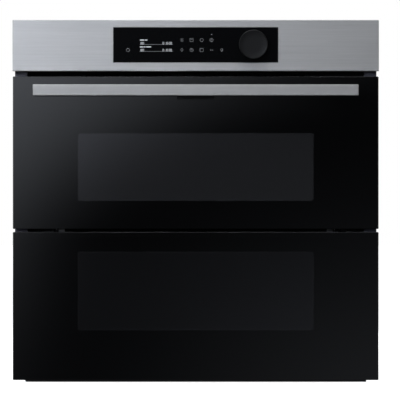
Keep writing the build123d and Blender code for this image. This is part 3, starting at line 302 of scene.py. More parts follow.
def galvanised(name):
    """Zinc-coated sheet: crystal spangle patches with their own tone and gloss, and faint rolling streaks."""
    material, nodes, shader = principled(name, Metallic=0.85)
    where = nodes.place((1, 1, 1))
    wobble = nodes.add("ShaderNodeTexNoise", 1, None, Vector=where, Scale=60.0, Detail=2.0)
    warped = nodes.add("ShaderNodeMixRGB", 0, None, Fac=0.012, Color1=where, Color2=wobble)
    cells = nodes.add("ShaderNodeTexVoronoi", 1, None, Vector=warped, Scale=130.0)
    tone = nodes.add("ShaderNodeSeparateXYZ", 0, None, Vector=cells)
    streak = nodes.noise(5.0, (8, 0.6, 8), 3.0)
    mixed = nodes.math("ADD", nodes.math("MULTIPLY", tone, 0.45), nodes.math("MULTIPLY", streak, 0.55))
    tone_colour = nodes.ramp(mixed, (0.2, (0.45, 0.465, 0.48)), (0.8, (0.57, 0.585, 0.6)))
    nodes.put(shader.inputs["Base Color"], tone_colour)
    nodes.put(shader.inputs["Roughness"], nodes.between(tone, 0.34, 0.52))
    nodes.put(shader.inputs["Normal"], nodes.bump(tone, 0.05, 0.0003))
    return material


def enamel(name, colour, fleck):
    """Glossy fired enamel with pale flecks and a slight orange-peel waviness."""
    material, nodes, shader = principled(name, Roughness=0.2, Coat_Weight=0.4, Coat_Roughness=0.12)
    grains = nodes.add("ShaderNodeTexVoronoi", 0, None, Vector=nodes.place(), Scale=420.0)
    chosen = nodes.noise(180.0, (1, 1, 1), 1.0)
    near = nodes.math("LESS_THAN", grains, 0.2)
    some = nodes.math("GREATER_THAN", chosen, 0.56)
    spot = nodes.math("MULTIPLY", near, some)
    nodes.put(shader.inputs["Base Color"], nodes.ramp(spot, (0.0, colour), (1.0, fleck)))
    peel = nodes.noise(90.0, (1, 1, 1), 2.0)
    nodes.put(shader.inputs["Roughness"], nodes.between(peel, 0.16, 0.3))
    nodes.put(shader.inputs["Normal"], nodes.bump(peel, 0.12, 0.0004))
    return material


def powder_paint(name, colour, rough=0.45, texture=350.0, strength=0.15, **extra):
    """Paint or moulded plastic: a fine pebbled texture with small changes of tone."""
    material, nodes, shader = principled(name, **extra)
    fine = nodes.noise(texture, (1, 1, 1), 2.0)
    patch = nodes.noise(9.0, (1, 1, 1), 3.0)
    dark = tuple(c * 0.86 for c in colour)
    light = tuple(min(1, c * 1.16) for c in colour)
    nodes.put(shader.inputs["Base Color"], nodes.ramp(patch, (0.3, dark), (0.7, light)))
    nodes.put(shader.inputs["Roughness"], nodes.between(fine, rough - 0.08, rough + 0.1))
    nodes.put(shader.inputs["Normal"], nodes.bump(fine, strength, 0.0003))
    return material


def chromed(name):
    """Bright plated wire with a faint waviness and a few duller stretches."""
    material, nodes, shader = principled(name, Metallic=1.0)
    wave = nodes.noise(70.0, (1, 1, 1), 2.0)
    dull = nodes.noise(14.0, (1, 1, 1), 3.0)
    tone_colour = nodes.ramp(dull, (0.3, (0.62, 0.61, 0.59)), (0.7, (0.82, 0.82, 0.82)))
    nodes.put(shader.inputs["Base Color"], tone_colour)
    nodes.put(shader.inputs["Roughness"], nodes.between(dull, 0.1, 0.24))
    nodes.put(shader.inputs["Normal"], nodes.bump(wave, 0.08, 0.0004))
    return material


def heated_steel(name):
    """Sheathed heater tube: dark oxide with brown and blue temper bands."""
    material, nodes, shader = principled(name, Metallic=0.7)
    band = nodes.noise(16.0, (1, 1, 1), 4.0)
    colours = ((0.25, (0.06, 0.055, 0.06)), (0.5, (0.15, 0.12, 0.09)), (0.7, (0.12, 0.12, 0.15)))
    nodes.put(shader.inputs["Base Color"], nodes.ramp(band, *colours))
    nodes.put(shader.inputs["Roughness"], nodes.between(band, 0.38, 0.62))
    nodes.put(shader.inputs["Normal"], nodes.bump(nodes.noise(500.0), 0.2, 0.0002))
    return material


def fibrous(name):
    """Mineral wool: long matted fibres in two directions."""
    material, nodes, shader = principled(name, Roughness=0.95, Sheen_Weight=0.3)
    one = nodes.noise(40.0, (1, 9, 2), 6.0, 0.8)
    two = nodes.noise(40.0, (8, 1, 3), 6.0, 0.8)
    mat = nodes.math("MULTIPLY", nodes.math("ADD", one, two), 0.5)
    tone_colour = nodes.ramp(mat, (0.35, (0.42, 0.38, 0.27)), (0.65, (0.78, 0.74, 0.6)))
    nodes.put(shader.inputs["Base Color"], tone_colour)
    nodes.put(shader.inputs["Normal"], nodes.bump(mat, 0.8, 0.002))
    return material


def circuit_board(name):
    """Green lacquered board with a grid of copper tracks under the lacquer."""
    material, nodes, shader = principled(name, Coat_Weight=0.3, Coat_Roughness=0.2)
    tracks = nodes.add("ShaderNodeTexBrick", 1, None, Vector=nodes.place(), Scale=70.0)
    tone_colour = nodes.ramp(tracks, (0.4, (0.02, 0.12, 0.05)), (0.6, (0.06, 0.24, 0.1)))
    nodes.put(shader.inputs["Base Color"], tone_colour)
    nodes.put(shader.inputs["Roughness"], nodes.between(nodes.noise(200.0), 0.3, 0.5))
    return material


def laminated(name):
    """A motor's stacked steel sheets with varnish."""
    material, nodes, shader = principled(name, Metallic=0.8)
    sheets = nodes.add("ShaderNodeTexWave", 1, {"bands_direction": "Y"}, Vector=nodes.place(), Scale=300.0)
    tone_colour = nodes.ramp(sheets, (0.2, (0.12, 0.12, 0.13)), (0.8, (0.34, 0.34, 0.36)))
    nodes.put(shader.inputs["Base Color"], tone_colour)
    nodes.put(shader.inputs["Roughness"], nodes.between(nodes.noise(60.0), 0.35, 0.55))
    nodes.put(shader.inputs["Normal"], nodes.bump(sheets, 0.4, 0.0003))
    return material


def window_mask(nodes, half_w, z0, z1, radius):
    """1 inside a rounded rectangle in the front plane and 0 outside it, with a narrow soft edge."""
    x = nodes.math("SUBTRACT", nodes.math("ABSOLUTE", nodes.axis(0)), half_w - radius)
    z = nodes.math("ABSOLUTE", nodes.math("SUBTRACT", nodes.axis(2), (z0 + z1) / 2))
    z = nodes.math("SUBTRACT", z, (z1 - z0) / 2 - radius)
    x = nodes.math("MAXIMUM", x, 0.0)
    z = nodes.math("MAXIMUM", z, 0.0)
    far = nodes.math("SQRT", nodes.math("ADD", nodes.math("MULTIPLY", x, x), nodes.math("MULTIPLY", z, z)))
    inside = nodes.math("DIVIDE", nodes.math("SUBTRACT", radius, far), 0.0006)
    return nodes.math("ADD", inside, 0.5, clamp=True)


# The window's grey tint sets its reflectance, and where it stays diffuse it is painted light, a glow standing in
# for the lit cavity behind the glass
WINDOW_COVER = 0.82
WINDOW_TINT_AND_PAINTED_GLOW = 0.06
MASK_TONE = 0.0008


def printed_glass(name, window, plating_sets_painted_glow):
    """Black-printed door glass with a smoked window: the print is opaque, the window lets light through. The
    window's grey tint is partly painted light: where the plating leaves it diffuse, it stands in for the lit
    cavity seen through the glass.
    """
    material, nodes, shader = principled(name, IOR=1.5, Specular_IOR_Level=0.5)
    mask = window_mask(nodes, window[0], window[1], window[2], 0.004)
    haze = nodes.noise(3.0, (1, 1, 1), 4.0, 0.6)
    dust = nodes.noise(900.0, (1, 1, 1), 1.0)
    # Painted light: the window's diffuse grey stands in for the lit cavity seen through the glass
    tone = nodes.between(mask, MASK_TONE, WINDOW_TINT_AND_PAINTED_GLOW)
    tone = nodes.math("MULTIPLY", tone, nodes.between(haze, 0.92, 1.08))
    nodes.put(shader.inputs["Base Color"], nodes.ramp(tone, (0.0, 0.0), (1.0, (1.0, 1.0, 1.06))))
    nodes.put(shader.inputs["Metallic"], nodes.math("MULTIPLY", mask, plating_sets_painted_glow))
    nodes.put(shader.inputs["Alpha"], nodes.between(mask, 1.0, WINDOW_COVER))
    smear = nodes.math("ADD", nodes.between(haze, 0.015, 0.045), nodes.math("MULTIPLY", dust, 0.01))
    nodes.put(shader.inputs["Roughness"], smear)
    return material


def clear_pane(name, opening):
    """Heat-reflecting inner glass: clear in the middle, with a dark printed border that fades in dots."""
    material, nodes, shader = principled(name, IOR=1.5, Roughness=0.03)
    border = window_mask(nodes, opening[0], opening[1], opening[2], 0.008)
    grid = {"Vector": nodes.place((1, 0, 1)), "Scale": 380.0, "Randomness": 0.0}
    dots = nodes.add("ShaderNodeTexVoronoi", 0, None, **grid)
    wide = window_mask(nodes, opening[0] - 0.012, opening[1] + 0.012, opening[2] - 0.012, 0.008)
    fade = nodes.math("SUBTRACT", border, wide)
    dot = nodes.math("MULTIPLY", nodes.math("LESS_THAN", dots, 0.33), fade)
    printed = nodes.math("MAXIMUM", nodes.math("SUBTRACT", 1.0, border), dot)
    nodes.put(shader.inputs["Base Color"], nodes.ramp(printed, (0.0, (0.05, 0.06, 0.06)), (1.0, 0.012)))
    nodes.put(shader.inputs["Alpha"], nodes.between(printed, 0.1, 1.0))
    nodes.put(shader.inputs["Roughness"], nodes.between(nodes.noise(4.0), 0.02, 0.07))
    return material


def glowing(name, colour, strength):
    """A lit mark under the display glass, its tint varying slightly at random."""
    material, nodes, shader = principled(name, Base_Color=(0.1, 0.1, 0.1, 1), Roughness=0.3)
    shimmer = nodes.noise(800.0, (1, 1, 1), 1.0)
    tint = nodes.ramp(shimmer, (0.2, tuple(c * 0.9 for c in colour)), (0.8, colour))
    nodes.put(shader.inputs["Emission Color"], tint)
    nodes.put(shader.inputs["Emission Strength"], strength)
    return material


lower_inner = corners("lower_inner_panes")
upper_inner = corners("upper_inner_panes")
WINDOW_INSET = 0.021  # the printed window lies this far inside the inner pane's edge
window_x = lower_inner[0][1] - WINDOW_INSET - 0.004
lower_window = (window_x, lower_inner[2][0] + WINDOW_INSET, lower_inner[2][1] - WINDOW_INSET)
upper_window = (window_x, upper_inner[2][0] + WINDOW_INSET, upper_inner[2][1] - WINDOW_INSET)
PANE_BORDER = 0.010
clear_x = lower_inner[0][1] - PANE_BORDER - 0.004
lower_open = (clear_x, lower_inner[2][0] + PANE_BORDER, lower_inner[2][1] - PANE_BORDER)
upper_open = (clear_x, upper_inner[2][0] + PANE_BORDER, upper_inner[2][1] - PANE_BORDER)

stainless = brushed_metal("stainless_brushed", (0.485, 0.482, 0.478), 0.36, "X", 0.6)
zinc = galvanised("zinc_sheet")
black_enamel = enamel("black_enamel", (0.012, 0.013, 0.016), (0.35, 0.38, 0.42))
frame_paint = powder_paint("frame_paint", (0.035, 0.035, 0.04), 0.38)
trim_plastic = powder_paint("trim_plastic", (0.020, 0.020, 0.036), 0.45, 500.0)
dark_plastic = powder_paint("dark_plastic", (0.018, 0.018, 0.02), 0.42, 600.0)
housing_plastic = powder_paint("housing_plastic", (0.05, 0.05, 0.052), 0.55)
chrome = chromed("chromed_wire")
plain_steel = brushed_metal("plain_steel", (0.52, 0.52, 0.53), 0.34, "Y", 0.6)
rod_steel = brushed_metal("rod_steel", (0.5, 0.5, 0.52), 0.3, "Z", 0.5)
heater = heated_steel("heater_steel")
wool = fibrous("mineral_wool")
rubber = powder_paint("seal_rubber", (0.03, 0.03, 0.032), 0.75, 260.0, 0.3)
cast_aluminium = powder_paint("cast_aluminium", (0.62, 0.62, 0.64), 0.4, 240.0, 0.1, Metallic=1.0)
motor_steel = laminated("motor_laminations")
lamp_ceramic = powder_paint("lamp_ceramic", (0.78, 0.74, 0.66), 0.6, 150.0)
board = circuit_board("circuit_board")
# The upper window gets less plating, so its painted glow of the lit cavity is lighter than the lower window's
lower_print = printed_glass("lower_door_print", lower_window, 0.93)
upper_print = printed_glass("upper_door_print", upper_window, 0.76)
lower_pane = clear_pane("lower_pane_print", lower_open)
upper_pane = clear_pane("upper_pane_print", upper_open)
screen_tone = (0.0008, 0.0009, 0.0012)
display_black = powder_paint("display_black", screen_tone, 0.22, 3.0, 0.0, Specular_IOR_Level=0.035)
handle_metal = brushed_metal("handle_brushed", (0.365, 0.362, 0.358), 0.45, "X", 0.5)
ground_glass = powder_paint("ground_glass", (0.16, 0.17, 0.18), 0.4, 900.0)
# Near-black, dull and barely glossy: used for seals, and also as painted shade on the divider's strip in the gap
# between the doors
seal_and_shade_black = powder_paint("seal_and_shade_black", (0.004, 0.004, 0.004), 0.8, 260.0, 0.3, Specular_IOR_Level=0.1)
frame_black = powder_paint("frame_black", (0.005, 0.005, 0.006), 0.6, 240.0, 0.15, Specular_IOR_Level=0.12)
woven_rope = powder_paint("woven_rope", (0.16, 0.155, 0.14), 0.85, 900.0, 0.9)
divider_steel = brushed_metal("divider_steel", (0.36, 0.36, 0.37), 0.42, "X", 0.8)
plate_print = powder_paint("plate_print", (0.55, 0.56, 0.58), 0.35, 60.0, 0.05)
copper = brushed_metal("copper_winding", (0.62, 0.28, 0.12), 0.38, "Z", 1.4)
lamp_frosted, lamp_nodes, lamp_shader = principled("lamp_frosted", Roughness=0.35, IOR=1.5)
lamp_tone = lamp_nodes.ramp(lamp_nodes.noise(60.0), (0.3, 0.75), (0.7, 0.92))
lamp_nodes.put(lamp_shader.inputs["Base Color"], lamp_tone)
lamp_nodes.put(lamp_shader.inputs["Transmission Weight"], 0.6)

NODE_MATERIALS = {
    stainless: "control_fascia handle_bar handle_posts",
    zinc: "base_plate side_panels top_cover rear_cover cooling_duct hinge_receivers hinge_cases",
    black_enamel: "cavity_liner baking_tray fan_cover",
    frame_black: "front_frame mid_hinge_brackets mid_hinge_blocks lock_rods release_lever lever_housing",
    frame_paint: "lower_door_frame upper_door_frame",
    trim_plastic: "side_trims",
    dark_plastic: "control_knob",
    housing_plastic: "control_housing lower_glass_rails upper_glass_rails terminal_block",
    chrome: "rack_supports wire_rack",
    divider_steel: "cavity_divider",
    plain_steel: "hinge_arms hinge_pins handle_screws knob_shaft temperature_probe lock_shaft",
    rod_steel: "door_springs spring_rods",
    heater: "grill_element base_element ring_elements",
    wool: "insulation_blanket",
    seal_and_shade_black: "mid_seal door_top_trim",
    rubber: "cavity_gasket cable_grommet",
    cast_aluminium: "upper_fan lower_fan blower_impeller",
    motor_steel: "fan_motors blower_motor",
    lamp_ceramic: "lamp_holders",
    lamp_frosted: "lamp_lenses",
    board: "power_board display_board",
    lower_print: "lower_door_glass",
    upper_print: "upper_door_glass",
    lower_pane: "lower_inner_panes",
    upper_pane: "upper_inner_panes",
    display_black: "display_glass",
}
for material, names in NODE_MATERIALS.items():
    for name in names.split():
        node[name].data.materials.clear()
        node[name].data.materials.append(material)

# ---------------------------------------------------------------- mesh helpers


def finish_mesh(name, bm, material, body, smooth=False, bevel=0.0, replaces=()):
    """Turn a bmesh into a piece that rides on a body; an optional small bevel rounds its edges."""
    mesh = bpy.data.meshes.new(name)
    bmesh.ops.recalc_face_normals(bm, faces=bm.faces)
    bm.to_mesh(mesh)
    bm.free()
    piece = bpy.data.objects.new(name, mesh)
    bpy.context.scene.collection.objects.link(piece)
    mesh.materials.append(material)
    if bevel:
        rounding = piece.modifiers.new("rounding", "BEVEL")
        rounding.width = bevel
        rounding.segments = 2
        rounding.limit_method = "ANGLE"
        rounding.angle_limit = math.radians(40)
    if smooth:
        mesh.shade_smooth()
    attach(piece, body)
    if replaces:
        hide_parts(*replaces)
    return piece


def add_box(bm, x, y, z):
    """Add a box between pairs of coordinates."""
    made = [bm.verts.new((a, b, c)) for a in x for b in y for c in z]
    for face in ((0, 1, 3, 2), (4, 6, 7, 5), (0, 4, 5, 1), (2, 3, 7, 6), (0, 2, 6, 4), (1, 5, 7, 3)):
        bm.faces.new([made[i] for i in face])


def add_turned(bm, profile, centre, axis="Y", steps=64, wave=None):
    """Revolve (radius, distance) points about an axis through centre. wave(angle, index) scales a radius."""
    rings = []
    for index, (radius, along) in enumerate(profile):
        ring = []
        for step in range(steps):
            turn = 2 * math.pi * step / steps
            r = radius * (wave(turn, index) if wave else 1)
            a, b = r * math.cos(turn), r * math.sin(turn)
            offset = {"X": (along, a, b), "Y": (a, along, b), "Z": (a, b, along)}[axis]
            ring.append(bm.verts.new(Vector(centre) + Vector(offset)))
        rings.append(ring)
    for first, second in zip(rings, rings[1:]):
        for step in range(steps):
            after = (step + 1) % steps
            bm.faces.new((first[step], first[after], second[after], second[step]))
    bm.faces.new(rings[0])
    bm.faces.new(rings[-1])


def add_ring(bm, centre, radius, tube, axis="Y", steps=72, sides=10, flat=1.0):
    """Add a closed ring of round section."""
    grid = []
    for step in range(steps):
        turn = 2 * math.pi * step / steps
        row = []
        for side in range(sides):
            angle = 2 * math.pi * side / sides
            r = radius + tube * math.cos(angle)
            along = tube * math.sin(angle) * flat
            a, b = r * math.cos(turn), r * math.sin(turn)
            offset = {"X": (along, a, b), "Y": (a, along, b), "Z": (a, b, along)}[axis]
            row.append(bm.verts.new(Vector(centre) + Vector(offset)))
        grid.append(row)
    for step in range(steps):
        for side in range(sides):
            one, two = grid[step], grid[(step + 1) % steps]
            after = (side + 1) % sides
            bm.faces.new((one[side], one[after], two[after], two[side]))


def add_tube(bm, points, radius, sides=10, closed=False):
    """Sweep a circle along points, keeping its frame from twisting."""
    points = [Vector(p) for p in points]
    count = len(points)
    normal = None
    rows = []
    for index, point in enumerate(points):
        before = points[index - 1] if index or closed else point
        after = points[(index + 1) % count] if index < count - 1 or closed else point
        along = (after - before).normalized()
        if normal is None:
            normal = along.orthogonal().normalized()
        normal = (normal - along * normal.dot(along)).normalized()
        other = along.cross(normal)
        row = []
        for side in range(sides):
            angle = 2 * math.pi * side / sides
            row.append(bm.verts.new(point + (normal * math.cos(angle) + other * math.sin(angle)) * radius))
        rows.append(row)
    pairs = list(zip(rows, rows[1:])) + ([(rows[-1], rows[0])] if closed else [])
    for one, two in pairs:
        for side in range(sides):
            after = (side + 1) % sides
            bm.faces.new((one[side], one[after], two[after], two[side]))
    if not closed:
        bm.faces.new(rows[0])
        bm.faces.new(rows[-1])


def rounded_loop(x0, x1, z0, z1, radius, y, steps=8):
    """Points round a rectangle with round corners in a plane of constant y."""
    points = []
    for cx, cz, start in ((x1, z1, 0), (x0, z1, 90), (x0, z0, 180), (x1, z0, 270)):
        mid = (cx - math.copysign(radius, cx - (x0 + x1) / 2), cz - math.copysign(radius, cz - (z0 + z1) / 2))
        for step in range(steps + 1):
            turn = math.radians(start + 90 * step / steps)
            points.append((mid[0] + radius * math.cos(turn), y, mid[1] + radius * math.sin(turn)))
    return points


def add_pad(bm, centre, size, normal, height, radius, slope):
    """Add a raised pressed pad on a flat sheet: a rounded rectangle that slopes up to a smaller top."""
    axis = Vector(normal)
    across = Vector((0, 0, 1)) if abs(axis.z) < 0.5 else Vector((0, 1, 0))
    side = across.cross(axis)
    w, h = size[0] / 2, size[1] / 2
    rings = []
    steps = ((0, -0.0002), (slope * 0.4, height * 0.3), (slope, height * 0.9), (slope * 1.5, height))
    for inset, lift in steps:
        r = max(radius - inset, 0.001)
        loop = rounded_loop(-w + inset, w - inset, -h + inset, h - inset, r, 0, 5)
        spots = [Vector(centre) + side * p[0] + across * p[2] + axis * lift for p in loop]
        rings.append([bm.verts.new(spot) for spot in spots])
    for one, two in zip(rings, rings[1:]):
        for index in range(len(one)):
            after = (index + 1) % len(one)
            bm.faces.new((one[index], one[after], two[after], two[index]))
    bm.faces.new(rings[-1])


def add_screw(bm, centre, normal, radius=0.0036, height=0.0019):
    """Add a pan-head screw with a six-lobed drive recess and a washer rim."""
    axis = Vector(normal)
    across = axis.orthogonal().normalized()
    other = axis.cross(across)
    steps = 24
    profile = [(1.3, 0.0), (1.3, 0.18), (1.0, 0.2), (0.95, 0.65)]
    profile += [(0.75, 0.95), (0.5, 1.0), (0.42, 0.4), (0.3, 0.4)]
    rings = []
    for index, (share, lift) in enumerate(profile):
        ring = []
        for step in range(steps):
            turn = 2 * math.pi * step / steps
            r = radius * share
            if index >= len(profile) - 3:
                r *= 1 + 0.14 * math.cos(6 * turn)
            spot = Vector(centre) + (across * math.cos(turn) + other * math.sin(turn)) * r
            ring.append(bm.verts.new(spot + axis * (lift * height)))
        rings.append(ring)
    for one, two in zip(rings, rings[1:]):
        for step in range(steps):
            after = (step + 1) % steps
            bm.faces.new((one[step], one[after], two[after], two[step]))
    bm.faces.new(rings[-1])


# ---------------------------------------------------------------- control panel

screen_x, screen_y, screen_z = corners("display_glass")
screen_mid = (screen_z[0] + screen_z[1]) / 2
screen_front = screen_y[0]
MARK_T = 0.00012
lit_white = glowing("lit_white", (0.9, 0.93, 1.0), 0.62)
lit_dim = glowing("lit_dim", (0.7, 0.74, 0.8), 0.24)


def add_mark(bm, x, z, w, h):
    """Add a thin flat mark on the display's front, centred on x and z from the display's middle."""
    y = (screen_front - MARK_T, screen_front + MARK_T)
    add_box(bm, (x - w / 2, x + w / 2), y, (screen_mid + z - h / 2, screen_mid + z + h / 2))


SEGMENTS = {
    "0": "abcdef", "1": "bc", "2": "abged", "3": "abgcd", "4": "fgbc",
    "5": "afgcd", "6": "afgedc", "7": "abc", "8": "abcdefg", "9": "abcdfg",
}


def add_number(bm, text, x, z, height):
    """Write digits and colons with bars, from x to the right; returns where it ends."""
    w = height * 0.52
    t = height * 0.13
    for sign in text:
        if sign == ":":
            for dz in (-0.2, 0.2):
                add_mark(bm, x + t, z + dz * height, t, t)
            x += 3 * t
            continue
        spots = {
            "a": (w / 2, height / 2, w, t), "g": (w / 2, 0, w, t), "d": (w / 2, -height / 2, w, t),
            "f": (0, height / 4, t, height / 2), "b": (w, height / 4, t, height / 2),
            "e": (0, -height / 4, t, height / 2), "c": (w, -height / 4, t, height / 2),
        }
        for letter in SEGMENTS[sign]:
            dx, dz, mw, mh = spots[letter]
            add_mark(bm, x + dx, z + dz, mw, mh)
        x += w + 2.2 * t
    return x


BLOCK_X = (-0.091, -0.037)
bm = bmesh.new()
for top, caption in ((0.0079, (0.008, 0.005)), (-0.0033, (0.006, 0.004, 0.009))):
    x = BLOCK_X[0]
    for width in caption:
        add_mark(bm, x + width / 2, top, width - 0.001, 0.0016)
        x += width
    add_number(bm, "180", BLOCK_X[0], top - 0.0051, 0.0032)
    add_number(bm, "0:10:00", BLOCK_X[1] - 0.0165, top - 0.0051, 0.0032)
finish_mesh("display_readout", bm, lit_white, "chassis")

bm = bmesh.new()
for z in (0.00065, -0.01055):
    add_mark(bm, sum(BLOCK_X) / 2, z, BLOCK_X[1] - BLOCK_X[0], 0.0004)
ICON = 0.0026
ICON_T = 0.00035


def icon_frame(bm, x, z, size=ICON):
    """A small open square."""
    for side in SIDES:
        add_mark(bm, x + side * size, z, ICON_T, 2 * size)
        add_mark(bm, x, z + side * size, 2 * size, ICON_T)


def icon_ring(bm, x, z, radius=ICON):
    add_ring(bm, (x, screen_front, screen_mid + z), radius, ICON_T * 0.6, "Y", 32, 6, 0.3)


def icon_lamp(bm, x, z):
    icon_ring(bm, x, z + 0.0005, ICON * 0.7)
    add_mark(bm, x, z - 0.0022, 0.0016, ICON_T)


def icon_bars(bm, x, z):
    for dz in (-0.0018, 0, 0.0018):
        add_mark(bm, x, z + dz, 0.0048, ICON_T)


def icon_oven(bm, x, z):
    icon_frame(bm, x, z)
    add_mark(bm, x, z + 0.0011, 0.0034, ICON_T)


def icon_clock(bm, x, z):
    icon_ring(bm, x, z)
    add_mark(bm, x, z + 0.0008, ICON_T, 0.0018)
    add_mark(bm, x + 0.0007, z, 0.0015, ICON_T)


def icon_arrow(bm, x, z):
    add_mark(bm, x + 0.0005, z, 0.004, ICON_T)
    add_mark(bm, x - 0.0016, z, ICON_T, 0.0022)


ICON_XS = (-0.0224, -0.0067, 0.0097, 0.0258, 0.0424)
TOP_ROW, LOW_ROW = 0.0079, -0.0084
for x, draw in zip(ICON_XS, (icon_bars, icon_oven, icon_ring, icon_clock)):
    draw(bm, x, TOP_ROW)
for x, draw in zip(ICON_XS, (icon_lamp, icon_clock, icon_frame, icon_arrow, icon_lamp)):
    draw(bm, x, LOW_ROW)
add_mark(bm, ICON_XS[3], 0.0168, 0.0012, 0.0012)
icon_ring(bm, -0.110, LOW_ROW, 0.0027)
add_mark(bm, -0.110, LOW_ROW + 0.0022, 0.0005, 0.0022)
finish_mesh("display_icons", bm, lit_dim, "chassis")

# A rolled edge of the steel round the display
bm = bmesh.new()
RIM = 0.0004
rim_x = (screen_x[0] - RIM, screen_x[1] + RIM)
rim_z = (screen_z[0] - RIM, screen_z[1] + RIM)
loop = rounded_loop(*rim_x, *rim_z, 0.0006, face_y - 0.0003)
add_tube(bm, loop, 0.0004, 8, True)
finish_mesh("display_rim", bm, handle_metal, "chassis", True)

# The knob: a turned cap with fine grip ridges round its side, a raised lip and a flat face
knob_x, knob_y, knob_z = corners("control_knob")
knob_centre = ((knob_x[0] + knob_x[1]) / 2, knob_y[1], (knob_z[0] + knob_z[1]) / 2)
knob_r = (knob_x[1] - knob_x[0]) / 2
knob_h = knob_y[1] - knob_y[0]
RIDGES = 90


def grip(turn, index):
    """Fine ridges on the side of the knob only."""
    return 1 - 0.006 * (0.5 + 0.5 * math.cos(RIDGES * turn)) if 2 <= index <= 4 else 0.992


knob_profile = [(0.30, 0.02), (0.96, 0.02), (0.985, 0.08), (0.99, 0.45), (0.985, 0.80), (0.978, 0.90)]
knob_profile += [(0.965, 0.965)]
knob_profile += [(0.945, 1.0), (0.925, 0.992), (0.91, 0.975), (0.90, 0.97), (0.50, 0.972), (0.02, 0.973)]
bm = bmesh.new()
turned = [(r * knob_r / 0.992, -h * knob_h) for r, h in knob_profile]
add_turned(bm, turned, knob_centre, "Y", 360, grip)
knob_tone = (0.0060, 0.0061, 0.0064)
knob_plastic = powder_paint("knob_plastic", knob_tone, 0.42, 700.0, 0.05, Specular_IOR_Level=0.1)
finish_mesh("knob_cap", bm, knob_plastic, "control_knob", True, 0, ("control_knob",))

# ---------------------------------------------------------------- handle and edges

bar_x, bar_y, bar_z = corners("handle_bar")
BAR_EDGE = 0.0009
bm = bmesh.new()
profile = [(bar_y[1], bar_z[0]), (bar_y[1], bar_z[1]), (bar_y[0] + BAR_EDGE, bar_z[1])]
profile += [(bar_y[0] + 0.3 * BAR_EDGE, bar_z[1] - 0.35 * BAR_EDGE), (bar_y[0], bar_z[1] - BAR_EDGE)]
profile += [(bar_y[0], bar_z[0] + BAR_EDGE), (bar_y[0] + 0.3 * BAR_EDGE, bar_z[0] + 0.35 * BAR_EDGE)]
profile += [(bar_y[0] + BAR_EDGE, bar_z[0])]
stops = (bar_x[0], bar_x[0] + 0.0006, bar_x[1] - 0.0006, bar_x[1])
bar_mid = Vector(((bar_y[0] + bar_y[1]) / 2, (bar_z[0] + bar_z[1]) / 2))
rows = []
for index, x in enumerate(stops):
    scale = 0.93 if index in (0, 3) else 1.0
    spots = [bar_mid + (Vector(p) - bar_mid) * scale for p in profile]
    rows.append([bm.verts.new((x, p.x, p.y)) for p in spots])
for one, two in zip(rows, rows[1:]):
    for index in range(len(profile)):
        after = (index + 1) % len(profile)
        bm.faces.new((one[index], one[after], two[after], two[index]))
bm.faces.new(rows[0])
bm.faces.new(rows[-1])
finish_mesh("handle_grip", bm, handle_metal, "upper_door", False, 0, ("handle_bar",))

# End caps let into the bar's ends
bm = bmesh.new()
for side in SIDES:
    x0 = bar_x[1] - 0.0004 if side > 0 else bar_x[0] + 0.0004
    cap_y = (bar_y[0] + 0.0015, bar_y[1] - 0.0015)
    add_box(bm, (x0 - 0.0003, x0 + 0.0003), cap_y, (bar_z[0] + 0.002, bar_z[1] - 0.002))
finish_mesh("handle_end_caps", bm, dark_plastic, "upper_door", False, 0.0002)

# Rubber washers between each handle post and the glass
post_x, post_y, post_z = corners("handle_posts")
bm = bmesh.new()
for side in SIDES:
    x1 = side * (post_x[1] + 0.0006)
    x0 = side * (post_x[1] - 0.0506)
    washer_z = (post_z[0] - 0.0006, post_z[1] + 0.0006)
    add_box(bm, (min(x0, x1), max(x0, x1)), (post_y[1] - 0.0009, post_y[1]), washer_z)
finish_mesh("post_washers", bm, rubber, "upper_door", False, 0.0003)

# Ground upper edges of the door glasses, and the panel's folded lower lip
EDGE_H = 0.0007
for name, glass_x, glass_z, body in (("upper_glass_edge", upper_x, upper_z, "upper_door"),
                                     ("lower_glass_edge", lower_x, lower_z, "lower_door")):
    bm = bmesh.new()
    x = (glass_x[0] + 0.001, glass_x[1] - 0.001)
    y0, z1 = upper_y[0], glass_z[1]
    section = [(y0 + 0.0001, z1 - EDGE_H), (y0 - 0.00005, z1 - EDGE_H)]
    section += [(y0 + EDGE_H, z1 + 0.00005), (y0 + EDGE_H, z1 - 0.0001)]
    made = [bm.verts.new((a, *spot)) for a in x for spot in section]
    for face in ((0, 1, 2, 3), (4, 5, 6, 7), (0, 1, 5, 4), (1, 2, 6, 5), (2, 3, 7, 6), (3, 0, 4, 7)):
        bm.faces.new([made[i] for i in face])
    finish_mesh(name, bm, ground_glass, body)

bm = bmesh.new()
lip = [(x, panel_y[0] + 0.0007, panel_z[0] + 0.0005) for x in (panel_x[0] + 0.001, panel_x[1] - 0.001)]
add_tube(bm, lip, 0.0007, 12)
finish_mesh("panel_lip", bm, stainless, "chassis", True)

# ---------------------------------------------------------------- release lever

lever_x, lever_y, lever_z = corners("release_lever")
bm = bmesh.new()
RIBS = 17
for x in spaced(lever_x, 0.003, RIBS):
    rib_y = (lever_y[0] + 0.004, lever_y[0] + 0.017)
    add_box(bm, (x - 0.0005, x + 0.0005), rib_y, (lever_z[0] - 0.00015, lever_z[0] + 0.0004))
finish_mesh("lever_ribs", bm, frame_black, "release_lever", False, 0.00012)

# ---------------------------------------------------------------- front recess

FRAME_SHEET = 0.0012
recess_y = corners("front_frame")[1][1] - FRAME_SHEET
divider_x, divider_y, divider_z = corners("cavity_divider")
# Painted shade: a near-black strip on the divider's front that darkens the gap between the doors
bm = bmesh.new()
shade_strip_x = (divider_x[0] + 0.010, divider_x[1] - 0.010)
add_box(bm, shade_strip_x, (divider_y[0] - 0.0005, divider_y[0] + 0.0002), divider_z)
finish_mesh("divider_painted_shade_strip", bm, seal_and_shade_black, "chassis", False, 0.0002)

